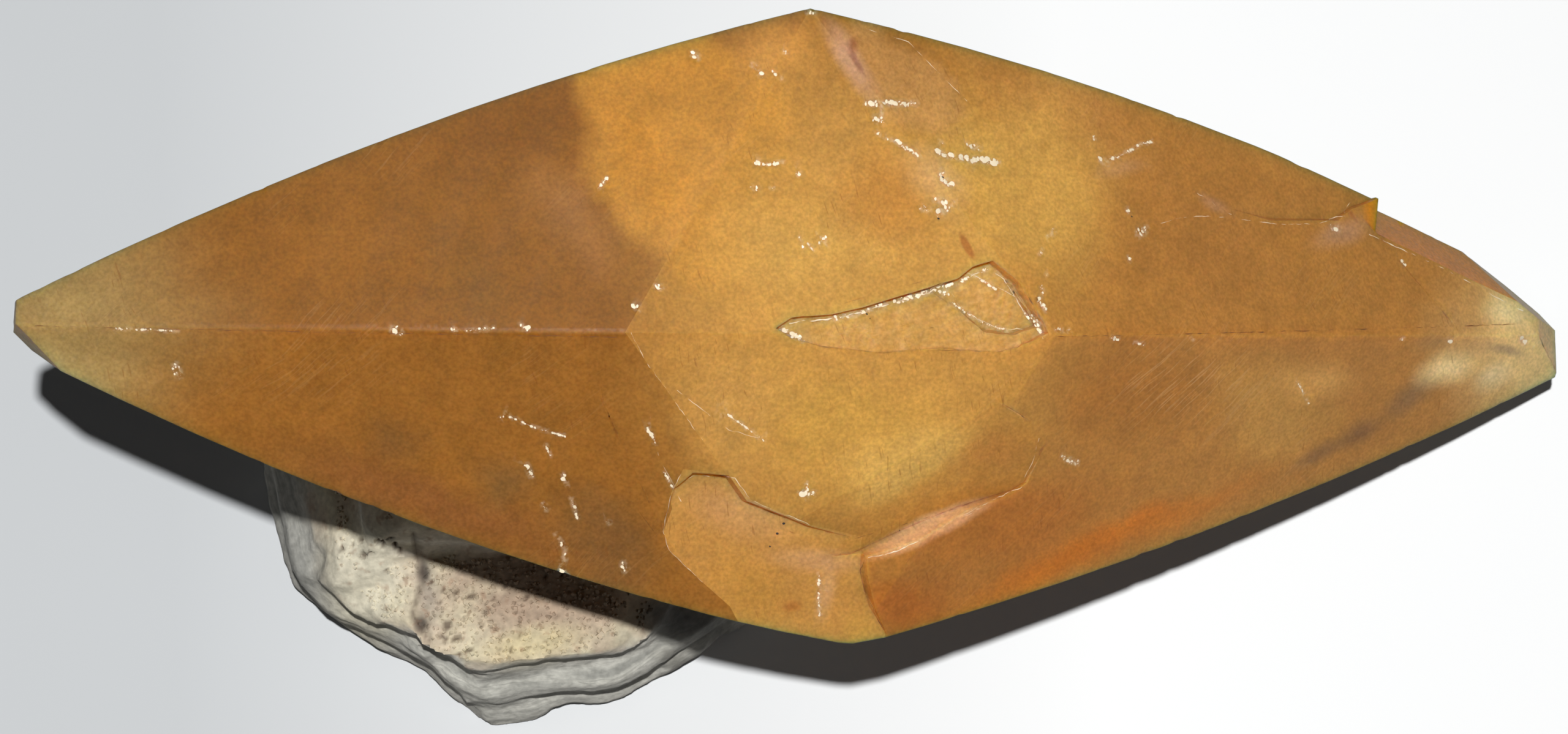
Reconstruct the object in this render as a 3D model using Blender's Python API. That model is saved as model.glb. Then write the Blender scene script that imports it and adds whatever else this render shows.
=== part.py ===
"""A doubly terminated calcite crystal that grew on a loose lump of its host rock.

The crystal is a scalenohedron: six curved edges run from a girdle to each tip, three of them
sharp and three blunt, in turn. Its own frame is (s, v, w): s runs along the crystal from the
left tip to the right one, w points at the blunt edge that faces up, and v lies across both.
The rock's frame is level, with its origin on the ground below the crystal's.
Lengths at the top are in millimetres, and angles in degrees.
"""

import math

import bmesh
import bpy
from mathutils import Euler, Matrix, Vector, noise

MM = 0.001

# How the crystal lies: the left tip is high, and the upper blunt edge leans to the front.
TILT = 18.0
ROLL = 12.5
AXIS_POINT = Vector((0.5, 3.9, 25.0))

# The crystal before it was chipped. An apex is given as (s, v).
LEFT_APEX = (-61.3, 0.0)
RIGHT_APEX = (64.6, -1.1)
# Folded facets cut off the girdle's blunt corners, from here to here along s.
CAP_LEFT = -20.0
CAP_RIGHT = 10.5
RINGS = 12
# The six edges from the upper blunt one round through +v: angle, girdle radius, where the
# edge crosses the girdle along s, and how far its left and right halves bulge.
EDGES = (
    (1.2, 20.4, -4.3, 0.37, 0.37),
    (60.0, 25.6, -6.2, 0.37, 0.45),
    (120.0, 20.4, -4.3, 0.37, 0.37),
    (180.0, 25.4, -4.3, 0.37, 0.37),
    (240.0, 20.4, -4.3, 0.37, 0.37),
    (300.0, 25.1, -2.4, 0.43, 0.29),
)

# Flat breaks at the tips: a point on each, and the way that it faces.
BREAK_SIZE = 30.0
BREAKS = {
    "left_tip_end": ((-58.1, 0.0, 0.0), (-0.97, 0.04, -0.12)),
    "left_tip_chamfer": ((-57.2, -1.1, 1.0), (-0.72, -0.68, 0.1)),
    "right_tip_end": ((57.3, 0.0, 0.0), (1.0, -0.12, 0.05)),
    "right_tip_facet": ((54.8, -1.5, 3.5), (0.72, 0.16, 0.68)),
    "right_bevel_tip": ((52.4, 2.6, 1.5), (0.57, 0.76, 0.30)),
}
# The bevel runs from here to the tip, and starts with a step.
BEVEL_START = (39.3, 6.8, 6.8)
BEVEL_FACES = (0.41, 0.755, 0.51)
BEVEL_LENGTH = 40.0

# Flakes: three points that the floor of each passes through, as (s, v, depth below the whole
# crystal), and its outline as (s, v, how far its wall leans out).
CLEAR_ABOVE = 24.0
RIM_ABOVE = 0.1
FLAKES = {
    "ridge_flake": (
        ((-8.0, 1.2, 0.7), (4.6, 4.6, 1.1), (4.0, -0.9, 0.1)),
        (
            (-9.4, 0.6, 0.1),
            (-8.2, 1.3, 0.2),
            (-5.4, 1.5, 0.2),
            (-3.3, 1.9, 0.3),
            (-0.4, 2.6, 0.3),
            (1.8, 3.3, 0.2),
            (3.4, 3.8, 0.2),
            (4.6, 4.7, 0.1),
            (6.0, 5.1, 0.1),
            (7.8, 3.5, 0.3),
            (9.7, 0.3, 0.2),
            (7.9, -0.6, 0.1),
            (6.3, -1.0, 0.1),
            (2.3, -0.7, 0.1),
            (-2.5, -1.0, 0.1),
            (-6.6, -0.5, 0.1),
        ),
    ),
    "ridge_step": (
        ((2.2, 3.0, 1.25), (8.0, 2.6, 1.2), (5.6, 0.9, 1.5)),
        (
            (1.9, 3.1, 0.1),
            (3.4, 3.7, 0.1),
            (4.6, 4.6, 0.05),
            (6.0, 4.95, 0.05),
            (7.6, 3.5, 0.1),
            (9.3, 0.7, 0.1),
            (7.6, 0.2, 0.1),
            (5.5, 0.6, 0.4),
            (4.4, 1.6, 0.5),
        ),
    ),
    "girdle_facet": (
        ((-15.8, -13.4, 0.05), (-9.5, -19.4, 0.1), (0.2, -20.5, 0.1)),
        (
            (-14.3, -9.5, 0.2),
            (-12.0, -9.6, 0.1),
            (-10.6, -11.4, 0.1),
            (-6.0, -13.2, 0.1),
            (-2.0, -14.2, 0.1),
            (-1.9, -16.6, 0.3),
            (-1.1, -18.9, 0.3),
            (0.4, -21.0, 0.3),
            (1.6, -25.0, 0.2),
            (-6.0, -27.0, 0.2),
            (-9.8, -20.2, 0.2),
            (-12.5, -17.7, 0.2),
            (-15.5, -14.8, 0.2),
            (-16.0, -13.4, 0.2),
            (-15.4, -10.6, 0.2),
        ),
    ),
    "rim_hollow": (
        ((-3.6, -15.2, 1.0), (9.3, -10.5, 0.35), (6.0, -5.0, 0.0)),
        (
            (-9.2, -9.2, 0.2),
            (-11.0, -10.6, 0.2),
            (-11.4, -12.2, 0.1),
            (-8.7, -13.5, 0.1),
            (-6.5, -14.5, 0.15),
            (-3.7, -15.3, 0.2),
            (-2.4, -15.1, 0.3),
            (-0.6, -14.3, 0.7),
            (1.4, -13.4, 1.0),
            (4.9, -12.0, 0.6),
            (8.8, -10.9, 0.3),
            (9.8, -10.3, 0.2),
            (10.6, -8.5, 0.15),
            (10.5, -6.6, 0.1),
            (6.0, -4.2, 0.1),
            (-3.0, -3.6, 0.1),
            (-8.0, -6.0, 0.1),
        ),
    ),
    "edge_flake": (
        ((30.0, 8.0, 0.3), (38.0, 8.6, 0.6), (31.0, 11.6, 0.05)),
        (
            (21.0, 17.0, 0.1),
            (21.5, 12.0, 0.1),
            (24.2, 9.8, 0.1),
            (26.4, 8.6, 0.2),
            (29.8, 7.9, 0.2),
            (35.8, 7.8, 0.2),
            (37.4, 8.6, 0.1),
            (39.6, 9.2, 0.1),
            (39.6, 17.0, 0.1),
        ),
    ),
}

# The rock as seen from one point inside it: walls all round, and above them either the ledge
# or the saddle that carries the crystal. Each side is a point on it and the way that it faces.
ROCK_CENTRE = Vector((-20.0, -6.0, 8.0))
ROCK_GAP = 0.42
WALLS = (
    ((-42.2, -9.5, 4.0), (-0.97, -0.22, 0.12)),
    ((-40.6, -15.0, 4.0), (-0.80, -0.60, 0.12)),
    ((-35.3, -18.8, 4.0), (-0.574, -0.819, 0.10)),
    ((-23.5, -24.5, 4.0), (0.10, -0.99, 0.22)),
    ((-17.4, -24.0, 4.0), (0.36, -0.93, 0.20)),
    ((-10.0, -20.8, 4.0), (0.62, -0.78, 0.15)),
    ((-3.0, -16.0, 4.0), (0.57, -0.82, 0.10)),
    ((5.0, -4.0, 4.0), (0.97, -0.20, 0.25)),
    ((1.5, 9.0, 4.0), (0.60, 0.80, 0.20)),
    ((-14.0, 12.0, 4.0), (-0.05, 1.0, 0.12)),
    ((-33.0, 4.0, 4.0), (-0.66, 0.75, 0.14)),
    ((-20.0, -6.0, -4.0), (0.0, 0.0, -1.0)),
)
LEDGE = (
    ((-22.0, -20.0, 13.2), (0.03, -0.08, 1.0)),
    ((-38.0, -13.0, 10.5), (-0.45, -0.10, 0.89)),
    ((-13.0, -19.0, 11.0), (0.50, -0.25, 0.83)),
)
SADDLE = (
    ((-20.0, -14.5, 13.0), (0.05, -0.85, 0.52)),
    ((-38.0, 0.0, 12.0), (-0.75, 0.0, 0.66)),
    ((4.0, 0.0, 6.0), (0.75, 0.0, 0.66)),
    ((-14.0, 11.0, 14.0), (0.0, 0.85, 0.52)),
    ((-20.0, 0.0, 31.0), (0.2, 0.0, 1.0)),
)
ROCK_DIVISIONS = 5
LAYER_HEIGHT = 2.6
LAYER_STEP = 0.9
LAYER_WANDER = 0.6
LUMP_SIZE = 8.0
LUMP_HEIGHT = 1.0
GRAIN_SIZE = 2.8
GRAIN_HEIGHT = 0.4


def clear_scene():
    for item in list(bpy.data.objects):
        bpy.data.objects.remove(item)


def principled(name, colour, roughness):
    material = bpy.data.materials.new(name)
    material.use_nodes = True
    shader = material.node_tree.nodes["Principled BSDF"]
    shader.inputs["Base Color"].default_value = (*colour, 1.0)
    shader.inputs["Roughness"].default_value = roughness
    shader.inputs["Metallic"].default_value = 0.0
    return material


def object_from(made, name):
    """A bmesh in millimetres made an object in metres."""
    bmesh.ops.recalc_face_normals(made, faces=made.faces)
    bmesh.ops.scale(made, vec=(MM, MM, MM), verts=made.verts)
    mesh = bpy.data.meshes.new(name)
    made.to_mesh(mesh)
    made.free()
    item = bpy.data.objects.new(name, mesh)
    bpy.context.collection.objects.link(item)
    return item


def lay_down(item):
    """Puts an object that is made in the crystal's frame where the crystal lies."""
    item.location = AXIS_POINT * MM
    item.rotation_euler = Euler((math.radians(ROLL), math.radians(TILT), 0))


def as_cutter(item):
    item.hide_render = True
    item.display_type = "WIRE"
    lay_down(item)
    return item


def cut(item, cutter):
    boolean = item.modifiers.new(cutter.name, "BOOLEAN")
    boolean.operation = "DIFFERENCE"
    boolean.solver = "EXACT"
    boolean.object = cutter


def edge_point(edge, s, grow=0.0):
    """A point of one of the six edges at s along the crystal."""
    angle, girdle_radius, girdle_at, left_bulge, right_bulge = EDGES[edge]
    left = s < girdle_at
    apex, bulge = (LEFT_APEX, left_bulge) if left else (RIGHT_APEX, right_bulge)
    t = (s - girdle_at) / (apex[0] - girdle_at)
    radius = girdle_radius * (1 - t) * (1 + bulge * t) + grow
    turn = math.radians(angle)
    return Vector((s, apex[1] * t + radius * math.sin(turn), radius * math.cos(turn)))


def half_crystal(made, apex, cap, grow):
    """One half's rings of six points, from the girdle to its tip. Returns the first ring."""
    rings = []
    for step in range(RINGS):
        ring = []
        for edge, (_, _, girdle_at, _, _) in enumerate(EDGES):
            start = girdle_at if edge % 2 else cap
            at = start + (apex[0] - start) * step / RINGS
            ring.append(made.verts.new(edge_point(edge, at, grow)))
        rings.append(ring)
    tip = made.verts.new((apex[0] + math.copysign(grow, apex[0]), apex[1], 0))
    for near, far in zip(rings, rings[1:]):
        for edge in range(6):
            after = (edge + 1) % 6
            made.faces.new((near[edge], near[after], far[after], far[edge]))
    for edge in range(6):
        made.faces.new((rings[-1][edge], rings[-1][(edge + 1) % 6], tip))
    return rings[0]


def whole_crystal(name, grow=0.0):
    """Both halves, and the folded facets that cut off the girdle's blunt corners."""
    made = bmesh.new()
    left = half_crystal(made, LEFT_APEX, CAP_LEFT, grow)
    right = half_crystal(made, RIGHT_APEX, CAP_RIGHT, grow)
    for edge in (1, 3, 5):
        before, after = edge - 1, (edge + 1) % 6
        made.faces.new((left[edge], left[before], right[before]))
        made.faces.new((left[edge], right[after], left[after]))
    bmesh.ops.remove_doubles(made, verts=made.verts, dist=0.01)
    return object_from(made, name)


def block_cutter(name, point, faces, size, from_centre=True):
    """A box whose lower face lies on a break, with its side along the crystal."""
    up = Vector(faces).normalized()
    along = Vector((1, 0, 0)) if abs(up.x) < 0.6 else Vector((0, 1, 0))
    across = up.cross(along).normalized()
    along = across.cross(up)
    made = bmesh.new()
    bmesh.ops.create_cube(made, size=size)
    start = 0.0 if from_centre else size / 2
    bmesh.ops.translate(made, vec=(start, 0, size / 2), verts=made.verts)
    turn = Matrix((along, across, up)).transposed()
    bmesh.ops.rotate(made, matrix=turn, verts=made.verts)
    bmesh.ops.translate(made, vec=Vector(point), verts=made.verts)
    return as_cutter(object_from(made, name))


def surface_height(crystal, s, v):
    """How high the whole crystal's upper side is at (s, v), along w."""
    start = Vector((s, v, 2 * CLEAR_ABOVE)) * MM
    found, where, _, _ = crystal.ray_cast(start, Vector((0, 0, -1)))
    return where.z / MM if found else 0.0


def flake_cutter(name, crystal, floor, outline):
    """What a flake took away: its sloping floor, its leaning wall, and all that is above."""
    first, second, third = (
        Vector((s, v, surface_height(crystal, s, v) - depth)) for s, v, depth in floor
    )
    across = (second - first).cross(third - first)
    middle = sum((Vector((s, v)) for s, v, _ in outline), Vector((0, 0))) / len(outline)
    low, rim, top = [], [], []
    for s, v, lean in outline:
        depth = (across.x * (s - first.x) + across.y * (v - first.y)) / across.z
        out = Vector((s, v)) + (Vector((s, v)) - middle).normalized() * lean
        low.append((s, v, first.z - depth))
        rim.append((*out, max(surface_height(crystal, *out), first.z - depth) + RIM_ABOVE))
        top.append((*out, CLEAR_ABOVE))
    made = bmesh.new()
    levels = [[made.verts.new(point) for point in level] for level in (low, rim, top)]
    for below, above in zip(levels, levels[1:]):
        for i, corner in enumerate(below):
            j = (i + 1) % len(below)
            made.faces.new((corner, below[j], above[j], above[i]))
    made.faces.new(levels[0])
    made.faces.new(levels[-1])
    return as_cutter(object_from(made, name))


def calcite_crystal():
    """The crystal with its broken tips, its bevelled edge and the flakes that it lost."""
    crystal = whole_crystal("calcite_crystal")
    lay_down(crystal)
    bpy.context.view_layer.update()
    cutters = [block_cutter(name, *where, BREAK_SIZE) for name, where in BREAKS.items()]
    cutters.append(
        block_cutter("right_bevel", BEVEL_START, BEVEL_FACES, BEVEL_LENGTH, from_centre=False)
    )
    for name, (floor, outline) in FLAKES.items():
        cutters.append(flake_cutter(name, crystal, floor, outline))
    for cutter in cutters:
        cut(crystal, cutter)
    crystal.data.materials.append(principled("honey_calcite", (0.56, 0.30, 0.09), 0.35))
    return crystal


def reach(sides, way):
    """How far it is from the rock's centre to the nearest of these sides, going one way."""
    nearest = math.inf
    for point, faces in sides:
        closing = Vector(faces).dot(way)
        if closing > 1e-6:
            nearest = min(nearest, Vector(faces).dot(Vector(point) - ROCK_CENTRE) / closing)
    return nearest


def rock_point(way):
    """The rock's surface in one direction: flat sides, layers that stand out, and lumps."""
    distance = min(reach(WALLS, way), max(reach(LEDGE, way), reach(SADDLE, way)))
    where = ROCK_CENTRE + way * distance
    wander = LAYER_WANDER * noise.noise(where / LUMP_SIZE)
    layer = math.floor(where.z / LAYER_HEIGHT + wander)
    distance -= LAYER_STEP * (1 - abs(way.z)) * (layer % 2)
    distance += LUMP_HEIGHT * noise.noise(where / LUMP_SIZE)
    distance += GRAIN_HEIGHT * noise.noise(where / GRAIN_SIZE)
    return ROCK_CENTRE + way * distance


def matrix_rock():
    """The lump of host rock, cut flat below, with the crystal's lower faces let into it."""
    made = bmesh.new()
    bmesh.ops.create_icosphere(made, subdivisions=ROCK_DIVISIONS, radius=1.0)
    for vertex in made.verts:
        vertex.co = rock_point(vertex.co.normalized())
    everything = list(made.verts) + list(made.edges) + list(made.faces)
    bmesh.ops.bisect_plane(
        made, geom=everything, plane_co=(0, 0, 0), plane_no=(0, 0, -1), clear_outer=True
    )
    bmesh.ops.holes_fill(made, edges=[edge for edge in made.edges if edge.is_boundary])
    rock = object_from(made, "matrix_rock")
    rock.location = (AXIS_POINT.x * MM, AXIS_POINT.y * MM, 0)
    cut(rock, as_cutter(whole_crystal("crystal_socket", ROCK_GAP)))
    rock.data.materials.append(principled("cream_dolostone", (0.62, 0.56, 0.46), 0.9))
    return rock


clear_scene()
calcite_crystal()
matrix_rock()
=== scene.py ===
# %% [markdown]
# # A honey calcite crystal on its lump of host rock
#
# The object is one doubly pointed calcite crystal, about 12 cm from tip to tip, that lies across
# a loose lump of the cream and grey rock it grew on. A CAD model gives both bodies their true
# size and place. This script dresses them: it makes a finer copy of each body, adds the small
# marks that the real surfaces carry, and builds the two natural finishes from shader nodes.

# %% Load the frame
import math
import random

import bmesh
import bpy
import numpy as np
from mathutils import Euler, Matrix, Vector, noise


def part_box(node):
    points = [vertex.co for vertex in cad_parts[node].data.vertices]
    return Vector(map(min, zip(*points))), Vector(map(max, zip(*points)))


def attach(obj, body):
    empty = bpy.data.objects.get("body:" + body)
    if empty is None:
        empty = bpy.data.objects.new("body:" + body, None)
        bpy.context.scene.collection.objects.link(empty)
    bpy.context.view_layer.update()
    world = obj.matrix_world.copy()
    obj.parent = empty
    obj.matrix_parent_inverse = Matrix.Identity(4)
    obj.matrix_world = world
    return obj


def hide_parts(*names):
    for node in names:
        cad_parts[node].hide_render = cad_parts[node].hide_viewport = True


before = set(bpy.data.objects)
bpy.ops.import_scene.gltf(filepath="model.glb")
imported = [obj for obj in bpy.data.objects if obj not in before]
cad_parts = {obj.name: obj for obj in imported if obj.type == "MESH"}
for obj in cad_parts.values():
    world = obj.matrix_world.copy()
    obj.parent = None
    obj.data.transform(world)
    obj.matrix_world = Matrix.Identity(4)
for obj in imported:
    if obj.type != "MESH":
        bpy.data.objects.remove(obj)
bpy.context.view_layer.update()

# %% [markdown]
# Two frames are used. The world is level, in metres. The crystal has a frame of its own, in
# millimetres: s runs along it to the right tip, w points at the blunt edge that faces up, and v
# lies across. The crystal is tilted and rolled, so one matrix takes the second frame to the
# first. Marks and colours are easier to place when they are measured along the crystal.

# %% Frames
MM = 0.001
AXIS_POINT = Vector((0.5, 3.9, 25.0))
TILT, ROLL = 18.0, 12.5

LIE = Euler((math.radians(ROLL), math.radians(TILT), 0))
FROM_CRYSTAL = Matrix.Translation(AXIS_POINT * MM) @ LIE.to_matrix().to_4x4() @ Matrix.Scale(MM, 4)
TO_CRYSTAL = FROM_CRYSTAL.inverted()
print("left tip at", [round(c * 1000) for c in FROM_CRYSTAL @ Vector((-58, 0, 0))], "mm")

# %% [markdown]
# The photograph was taken from almost straight above, a third of a metre away, with the long
# crystal across the picture. The camera's place is given as a direction and a distance from the
# crystal's middle, and then slid a little, because the middle isn't quite in the picture's centre.

# %% Camera
AZIMUTH, ELEVATION = -2.94, 82.0
CAMERA_DISTANCE = 330.0
SLIDE_RIGHT, SLIDE_UP = -3.32, -3.21
LENS = 106.27

turn, rise = math.radians(AZIMUTH), math.radians(ELEVATION)
back = Vector((math.sin(turn) * math.cos(rise), -math.cos(turn) * math.cos(rise), math.sin(rise)))
right = Vector((math.cos(turn), math.sin(turn), 0))
up = back.cross(right)
camera_place = AXIS_POINT + back * CAMERA_DISTANCE + right * SLIDE_RIGHT + up * SLIDE_UP

camera = bpy.data.objects.new("camera", bpy.data.cameras.new("camera"))
camera.data.lens = LENS
camera.data.clip_start = 0.01
facing = Matrix((right, up, back)).transposed().to_4x4()
camera.matrix_world = Matrix.Translation(camera_place * MM) @ facing
bpy.context.collection.objects.link(camera)
bpy.context.scene.camera = camera
print("camera at", [round(c) for c in camera_place], "mm")

# %% [markdown]
# One small function adds a node to any tree. It sets the node's own settings, and each input
# gets either a value or a link, so a material reads as a list of steps. Another turns an sRGB
# hex colour, as a colour picker shows it, into the linear values that a shader works with.

# %% Node and colour helpers
FACTOR, COLOUR_A, COLOUR_B, MIXED = 0, 6, 7, 2  # a colour Mix node's sockets


def add(tree, kind, inputs=(), output=0, **settings):
    node = tree.nodes.new(kind)
    for name, value in settings.items():
        setattr(node, name, value)
    for key, value in dict(inputs).items():
        if isinstance(value, bpy.types.NodeSocket):
            tree.links.new(value, node.inputs[key])
        else:
            node.inputs[key].default_value = value
    return node.outputs[output]


def colour(hexadecimal):
    values = [int(hexadecimal[i : i + 2], 16) / 255 for i in (1, 3, 5)]
    linear = [c / 12.92 if c <= 0.04045 else ((c + 0.055) / 1.055) ** 2.4 for c in values]
    return (*linear, 1.0)


def new_material(name):
    material = bpy.data.materials.new(name)
    material.use_nodes = True
    return material, material.node_tree, material.node_tree.nodes["Principled BSDF"]


print("honey in linear light:", [round(c, 3) for c in colour("#b8863f")])

# %% [markdown]
# The light in the photograph comes from close beside the lens, a little towards the top of the
# picture, so short dark shadows show along the crystal's lower edge. A small soft disc there
# gives the same shadows. Three weak panels stand low around the object: they light its sides but
# hardly the floor. The one at the back is weakest, because its glare would haze the far faces.
# The view transform is the plain one, so colours come out as they were chosen.
#
# The floor is matt white paper. In the photograph it is bluish grey at the left and burnt out to white at
# the right, where the flash is strongest. That falloff of the flash is painted into the paper's colour,
# which runs from grey to white. The shadows there are almost black, so the paper throws no light back
# under the crystal.

# %% Light and floor
KEY_ABOVE_LENS, KEY_BEHIND_LENS = 50.0, 110.0
KEY_SIZE, KEY_WATTS = 10.0, 2.3
PANEL_SIZE, PANEL_WATTS = 200.0, 0.16
PANELS = {
    # name: place in mm, share of the watts
    "right_panel": ((430, -260, 110), 1),
    "left_panel": ((-430, -260, 110), 1),
    "back_panel": ((0, 500, 120), 1 / 3),
}
ROOM_LIGHT = 0.015
# The grey is painted falloff of the light: the paper is white, and painted grey towards the left.
PAPER_PAINTED_FALLOFF, PAPER_WHITE = "#c6c9cb", "#f4f5f5"
PAINTED_FALLOFF_UNTIL, WHITE_FROM = -0.05, 0.02  # metres to the right
FLOOR_SIZE = 3.0

bpy.context.scene.view_settings.view_transform = "Standard"


def disc_light(name, place, aim, size, watts):
    lamp = bpy.data.lights.new(name, "AREA")
    lamp.shape = "DISK"
    lamp.size = size * MM
    lamp.energy = watts
    item = bpy.data.objects.new(name, lamp)
    item.location = place * MM
    item.rotation_euler = (place - aim).to_track_quat("Z", "Y").to_euler()
    bpy.context.collection.objects.link(item)


key_place = camera_place + up * KEY_ABOVE_LENS + back * KEY_BEHIND_LENS
disc_light("key", key_place, AXIS_POINT, KEY_SIZE, KEY_WATTS)
for name, (place, share) in PANELS.items():
    disc_light(name, Vector(place), AXIS_POINT, PANEL_SIZE, PANEL_WATTS * share)

world = bpy.data.worlds.new("pale_room")
world.use_nodes = True
world.node_tree.nodes["Background"].inputs["Color"].default_value = colour("#eef0f2")
world.node_tree.nodes["Background"].inputs["Strength"].default_value = ROOM_LIGHT
bpy.context.scene.world = world

paper, tree, shader = new_material("matt_white_paper")
across = add(tree, "ShaderNodeTexCoord", output="Object")
across = add(tree, "ShaderNodeSeparateXYZ", {0: across}, output="X")
# Painted falloff: the paper's colour turns from grey to white across the floor.
across = {"Value": across, "From Min": PAINTED_FALLOFF_UNTIL, "From Max": WHITE_FROM}
across = add(tree, "ShaderNodeMapRange", across)
mixed = {FACTOR: across, COLOUR_A: colour(PAPER_PAINTED_FALLOFF), COLOUR_B: colour(PAPER_WHITE)}
paper_with_painted_falloff = add(tree, "ShaderNodeMix", mixed, MIXED, data_type="RGBA")
tree.links.new(paper_with_painted_falloff, shader.inputs["Base Color"])
shader.inputs["Roughness"].default_value = 0.85
shader.inputs["Specular IOR Level"].default_value = 0.2

bpy.ops.mesh.primitive_plane_add(size=FLOOR_SIZE)
floor = bpy.context.object
floor.name = "floor"
floor.data.materials.append(paper)
floor.visible_diffuse = False
print("the lamp shines from", [round(c) for c in key_place], "mm")

# %% [markdown]
# The CAD bodies are made of long flat triangles. Small marks need small faces, so the crystal is
# copied, its loose triangles are merged, and its long edges are halved again and again until
# they are as short as that place needs. Points are only added on flat faces, so the true edges
# of the crystal never move. They are marked as seams first, and each half of a seam stays one.

# %% A finer copy of a CAD body
MERGE = 0.002
SHARP = math.radians(11.0)
HALVINGS = 7


def merged_copy(node, matrix):
    made = bmesh.new()
    made.from_mesh(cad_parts[node].data)
    made.transform(matrix)
    bmesh.ops.remove_doubles(made, verts=made.verts, dist=MERGE)
    return made


def refine(made, longest_at, seam_length):
    """Halves edges that are longer than longest_at says; edges at a seam may be shorter."""
    for edge in made.edges:
        edge.seam = edge.calc_face_angle(0.0) > SHARP
    for _ in range(HALVINGS):
        edges = list(made.edges)
        ends = np.array([[vertex.co[:] for vertex in edge.verts] for edge in edges])
        on_seam = {vertex for edge in edges if edge.seam for vertex in edge.verts}
        at_seam = [edge.verts[0] in on_seam or edge.verts[1] in on_seam for edge in edges]
        limits = np.minimum(longest_at(ends.mean(axis=1)), np.where(at_seam, seam_length, math.inf))
        too_long = np.flatnonzero(np.linalg.norm(ends[:, 0] - ends[:, 1], axis=1) > limits)
        bmesh.ops.subdivide_edges(made, edges=[edges[index] for index in too_long], cuts=1)
        bmesh.ops.triangulate(made, faces=[face for face in made.faces if len(face.verts) > 3])
    made.normal_update()


def regions(made):
    """Groups of faces that meet each other without a seam."""
    found, seen = [], set()
    for first in made.faces:
        waiting = [] if first in seen else [first]
        seen.add(first)
        group = []
        while waiting:
            face = waiting.pop()
            group.append(face)
            for edge in face.edges:
                others = [] if edge.seam else [near for near in edge.link_faces if near not in seen]
                seen.update(others)
                waiting.extend(others)
        if group:
            found.append(group)
    return found


def mesh_object(made, name):
    mesh = bpy.data.meshes.new(name)
    made.to_mesh(mesh)
    made.free()
    item = bpy.data.objects.new(name, mesh)
    bpy.context.collection.objects.link(item)
    return item


def keep_in_box(item, node):
    """Holds a world-frame mesh inside the box of the CAD body that it stands for."""
    low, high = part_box(node)
    for vertex in item.data.vertices:
        for axis in range(3):
            vertex.co[axis] = min(max(vertex.co[axis], low[axis]), high[axis])


print("the CAD crystal has", len(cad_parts["calcite_crystal"].data.polygons), "faces")

# %% [markdown]
# A crystal that has been handled and shipped shows white bruises: spots and streaks where the
# calcite was crushed into fine splinters. Each is listed here as a path across the upper side,
# in the crystal's own (s, v) millimetres, with how far its splinters spread and how large they
# are. The same list later shapes the surface, pales it, and carries the splinters.

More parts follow.
